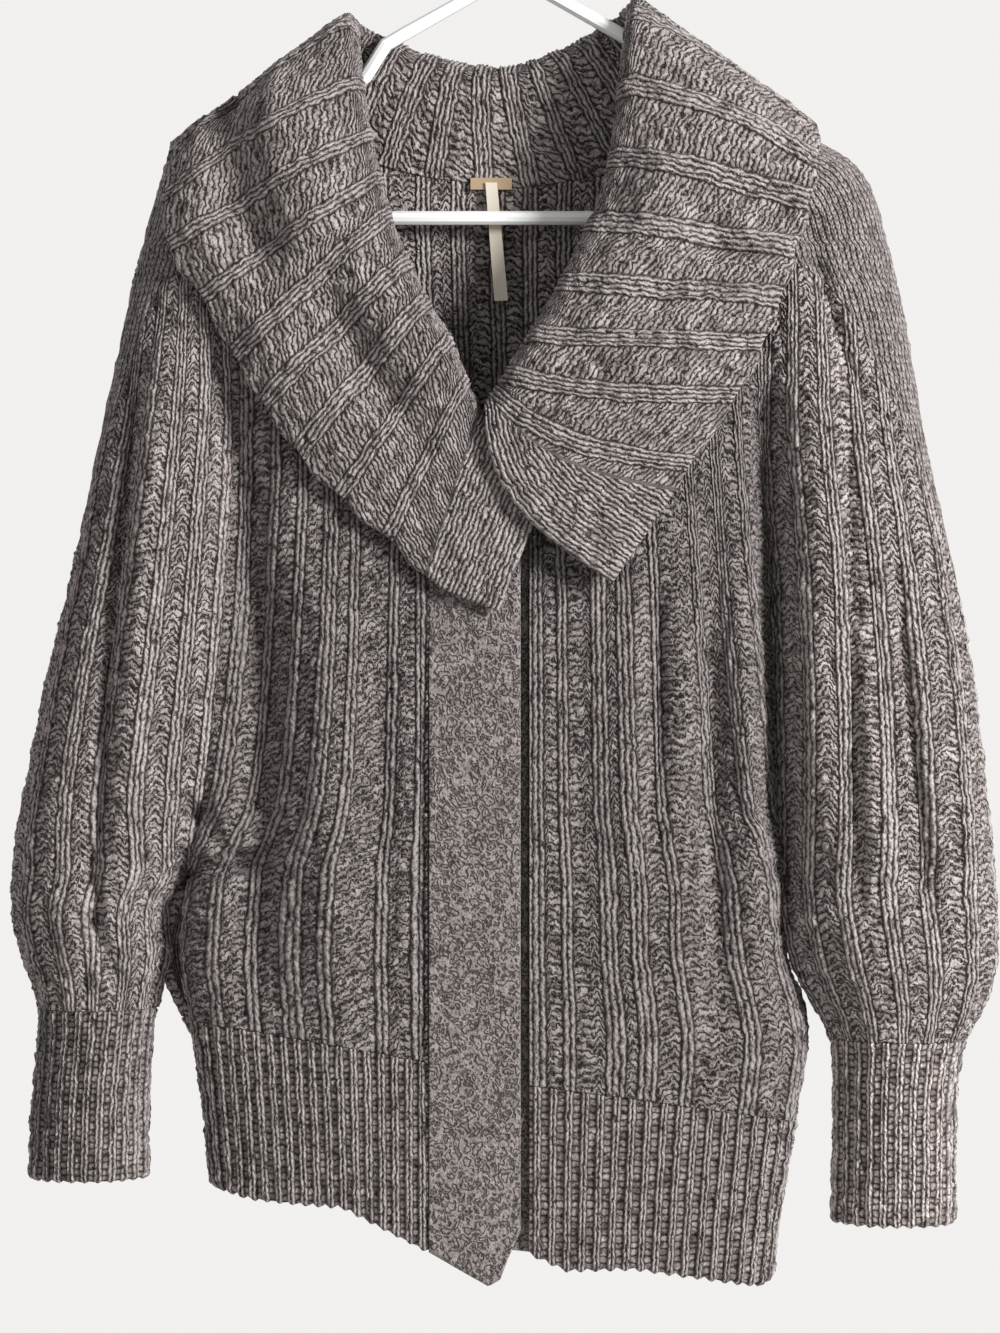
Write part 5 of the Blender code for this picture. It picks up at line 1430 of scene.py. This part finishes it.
def collar_grid():
    """Coarse points of the collar, and the direction of the rim at its seam."""
    table = Table(COLLAR_COLUMNS, COLLAR).column
    rolls, outers = (np.stack([table[edge + axis] for axis in AXES], axis=1) for edge in ("roll", "outer"))
    steps = np.linalg.norm(np.diff((rolls + outers) / 2, axis=0), axis=1)
    along = np.concatenate(([0], np.cumsum(steps))) / steps.sum()
    places = np.linspace(0, 1, COLLAR_STATIONS)
    seams = evenly(neckline_path(), smooth(along, table["seam"], places))
    stations = [{name: smooth(along, values, place) for name, values in table.items()} for place in places]
    plain = np.stack([collar_section(seam[:3], station) for seam, station in zip(seams, stations)])
    pressed = press_folds(plain.copy(), COLLAR_FACE)
    share = np.interp(plain[..., 2:], (-12, 14), (1, 0.3))      # less of each fold on the back
    points = plain + share * (pressed - plain)
    points[:, 0] = pull(points[:, 0], points[:, 1])
    facing = facing_way(smooth(along, table["face"], places))
    below = [node for name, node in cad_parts.items()
             if name.startswith(("back", "front", "sleeve", "shoulder", "band"))]
    return lay_on(points, facing, below), seams[:, 3:]

# %% [markdown]
# ## Knitting the collar
# The coarse grid is refined until it can hold stitches, and each point is given its place in
# the knitting. The ribs draw the free edge into small scallops.

# %% Knit the collar
RIBS_COLLAR = 31
PLAIN_ENDS = (48, 66)       # length of the plain ends of the collar, right and left
STRAND = 3.0                # width of one strand of their stitches
coarse, seam_ways = collar_grid()
rows = spread(run_length(coarse[:, -4:-3], 0)[-1, 0], COLLAR_STEPS[0])
cross_run = float(np.median(run_length(coarse, 1)[:, -1]))
cols = spread(cross_run, COLLAR_STEPS[1])
points = refine(refine(coarse, rows, 0), cols, 1)
first_in = unit(refine(seam_ways, rows, 0))

# Ribs cross the collar and lean on its left half; at both ends the stitches are plain.
local = run_length(points, 0)
along = local[:, -1:]
plain = (along < PLAIN_ENDS[0]) | (along[-1] - along < PLAIN_ENDS[1])
from_end = np.where(along < PLAIN_ENDS[0], local, local[-1:] - local)
lean = np.interp(rows, (0.5, 0.6, 0.72, 0.86), (0, 1.2, 0.8, 0))[:, None] * cols
repeat = np.where(plain, 100 + from_end / STRAND, rows[:, None] * RIBS_COLLAR + lean)
stretch = np.gradient(local, axis=0) / np.gradient(rows)[:, None]
width = np.where(plain, STRAND, stretch / RIBS_COLLAR)
reach = np.where(plain, 0, scallop(repeat, cols, 1.4))
points += reach[..., None] * unit(np.gradient(points, axis=1))
knit_wall("collar", points, 1, knitting(repeat, cols * cross_run, width), (ROUND, ROUND, 0, ROUND),
          {"first_column": first_in})
tell("collar:", ("collar",))

# %% [markdown]
# ## Dressing the frame
# Every wall takes its raised stitches and stands for its solid, which is hidden, and is
# attached to the root.

HANGER = ("hanger_frame",)
STRIPS = ("shoulder_strip_right_knit", "shoulder_strip_left_knit")
CUTS = {                    # slot, knit, width and length, flat area, and what the piece hangs from
    "front_right": ("body_knit", "body knit right", (0.169, 0.545), 0.070, STRIPS[:1]),
    "front_left": ("body_knit", "body knit left", (0.189, 0.595), 0.086, STRIPS[1:]),
    "back": ("body_knit", "back knit", (0.389, 0.590), 0.190, STRIPS),
    "hem_front_right": ("edge_rib_knit", "hem knit", (0.164, 0.134), 0.0175, ("front_right_knit",)),
    "hem_front_left": ("edge_rib_knit", "hem knit", (0.189, 0.122), 0.0195, ("front_left_knit",)),
    "hem_back": ("edge_rib_knit", "hem knit", (0.390, 0.152), 0.0385, ("back_knit",)),
    "band_right": ("band_knit", "seed stitch", (0.054, 0.536), 0.027, ("front_right_knit",)),
    "band_left": ("band_knit", "seed stitch", (0.054, 0.498), 0.026, ("front_left_knit",)),
    "sleeve_right": ("sleeve_knit", "sleeve knit", (0.260, 0.454), 0.100, STRIPS[:1]),
    "sleeve_left": ("sleeve_knit", "sleeve knit", (0.299, 0.472), 0.120, STRIPS[1:]),
    "cuff_right": ("edge_rib_knit", "cuff knit right", (0.178, 0.104), None, ("sleeve_right_knit",)),
    "cuff_left": ("edge_rib_knit", "cuff knit left", (0.184, 0.112), None, ("sleeve_left_knit",)),
    "shoulder_strip_right": ("strip_knit", "plain knit", (0.110, 0.290), 0.022, HANGER),
    "shoulder_strip_left": ("strip_knit", "plain knit", (0.120, 0.330), 0.029, HANGER),
    "collar": ("collar_knit", "collar knit", (1.026, 0.181), None, STRIPS + ("back_knit",)),
}
for name, wall in walls.items():
    slot, knit, flat, area, hangs_from = CUTS[name]
    stitches, settings, rise = KNITS[knit][:3]
    raise_knit(wall, stitches, FINISHES[knit], rise, settings)
    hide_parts(name)
    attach(wall, "root")
tell("sheets with raised knit:", walls)

# %% [markdown]
# ## Hanger and label
# The hanger is white plastic tube, a little glossy. The label is a tan tab on a cream
# tape, both bare.

# %% Hanger and label finishes
def plain_finish(name, colour, roughness):
    """Plain material with a faint unevenness."""
    finish = bpy.data.materials.new(name)
    finish.use_nodes = True
    shader = finish.node_tree.nodes["Principled BSDF"]
    g = Graph(finish.node_tree)
    uneven = g.noise(g.node("ShaderNodeTexCoord").outputs["Object"], 55.0, 3.0)
    g.feed(shader.inputs["Roughness"], g.ease(uneven, 0.3, 0.7, roughness - 0.06, roughness + 0.06))
    shader.inputs["Base Color"].default_value = colour
    return finish


WHITE = (0.94, 0.94, 0.94, 1)
TAN = (0.42, 0.30, 0.19, 1)
CREAM = (0.74, 0.67, 0.56, 1)
for name, colour, roughness in (("hanger_frame", WHITE, 0.3), ("hanger_hook", WHITE, 0.3),
                                ("neck_tab", TAN, 0.75), ("neck_tape", CREAM, 0.8)):
    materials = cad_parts[name].data.materials
    materials.clear()
    materials.append(plain_finish(name + " finish", colour, roughness))
print("finished: hanger and label")

# %% [markdown]
# ## Floor, light and camera
# A pale floor and pale surroundings, one large soft light from the front and right, a
# weak one from the left and one from behind.

# %% Stage
CHEST = (0, 0, -0.45)       # what the lights are turned to, in metres
FLOOR_LEVEL = -1.0


def soft_light(name, place, size, power):
    """Large soft light turned towards the chest."""
    lamp = bpy.data.lights.new(name, "AREA")
    lamp.shape = "DISK"
    lamp.size = size
    lamp.energy = power
    holder = put_in_scene(name, lamp)
    holder.location = place
    holder.rotation_euler = (Vector(CHEST) - Vector(place)).to_track_quat("-Z", "Y").to_euler()


def pale_room(seen, lit):
    """Surroundings that look pale and light the object more softly than they look."""
    world = bpy.data.worlds.new("pale room")
    world.use_nodes = True
    g = Graph(world.node_tree)
    background = world.node_tree.nodes["Background"]
    background.inputs["Color"].default_value = (0.95, 0.94, 0.925, 1)
    ray = g.node("ShaderNodeLightPath")
    g.feed(background.inputs["Strength"], g.mix(ray.outputs["Is Camera Ray"], lit, seen))
    bpy.context.scene.world = world


bpy.context.scene.view_settings.view_transform = "Standard"
pale_room(0.93, 0.38)
soft_light("key light", (1.8, -1.45, 0.15), 0.7, 82)
soft_light("fill light", (-1.6, -1.6, 0.3), 1.2, 5)
soft_light("back light", (-0.9, 2.0, 0.6), 1.2, 45)

floor_mesh = bpy.data.meshes.new("floor")
ring = [(0.45 * math.cos(a), 0.45 * math.sin(a), FLOOR_LEVEL)
        for a in np.linspace(0, 2 * math.pi, 64, endpoint=False)]
floor_mesh.from_pydata(ring, [], [list(range(64))])
floor_mesh.materials.append(plain_finish("floor paint", (0.8, 0.79, 0.77, 1), 0.7))
put_in_scene("floor", floor_mesh)

camera = put_in_scene("camera", bpy.data.cameras.new("camera"))
camera.data.sensor_width = 36
camera.data.lens = 85.5
camera.location = (-0.0072, -1.9, -0.4899)
camera.rotation_euler = (math.pi / 2, 0, 0)
bpy.context.scene.camera = camera
print("camera:", tuple(round(value, 3) for value in camera.location))
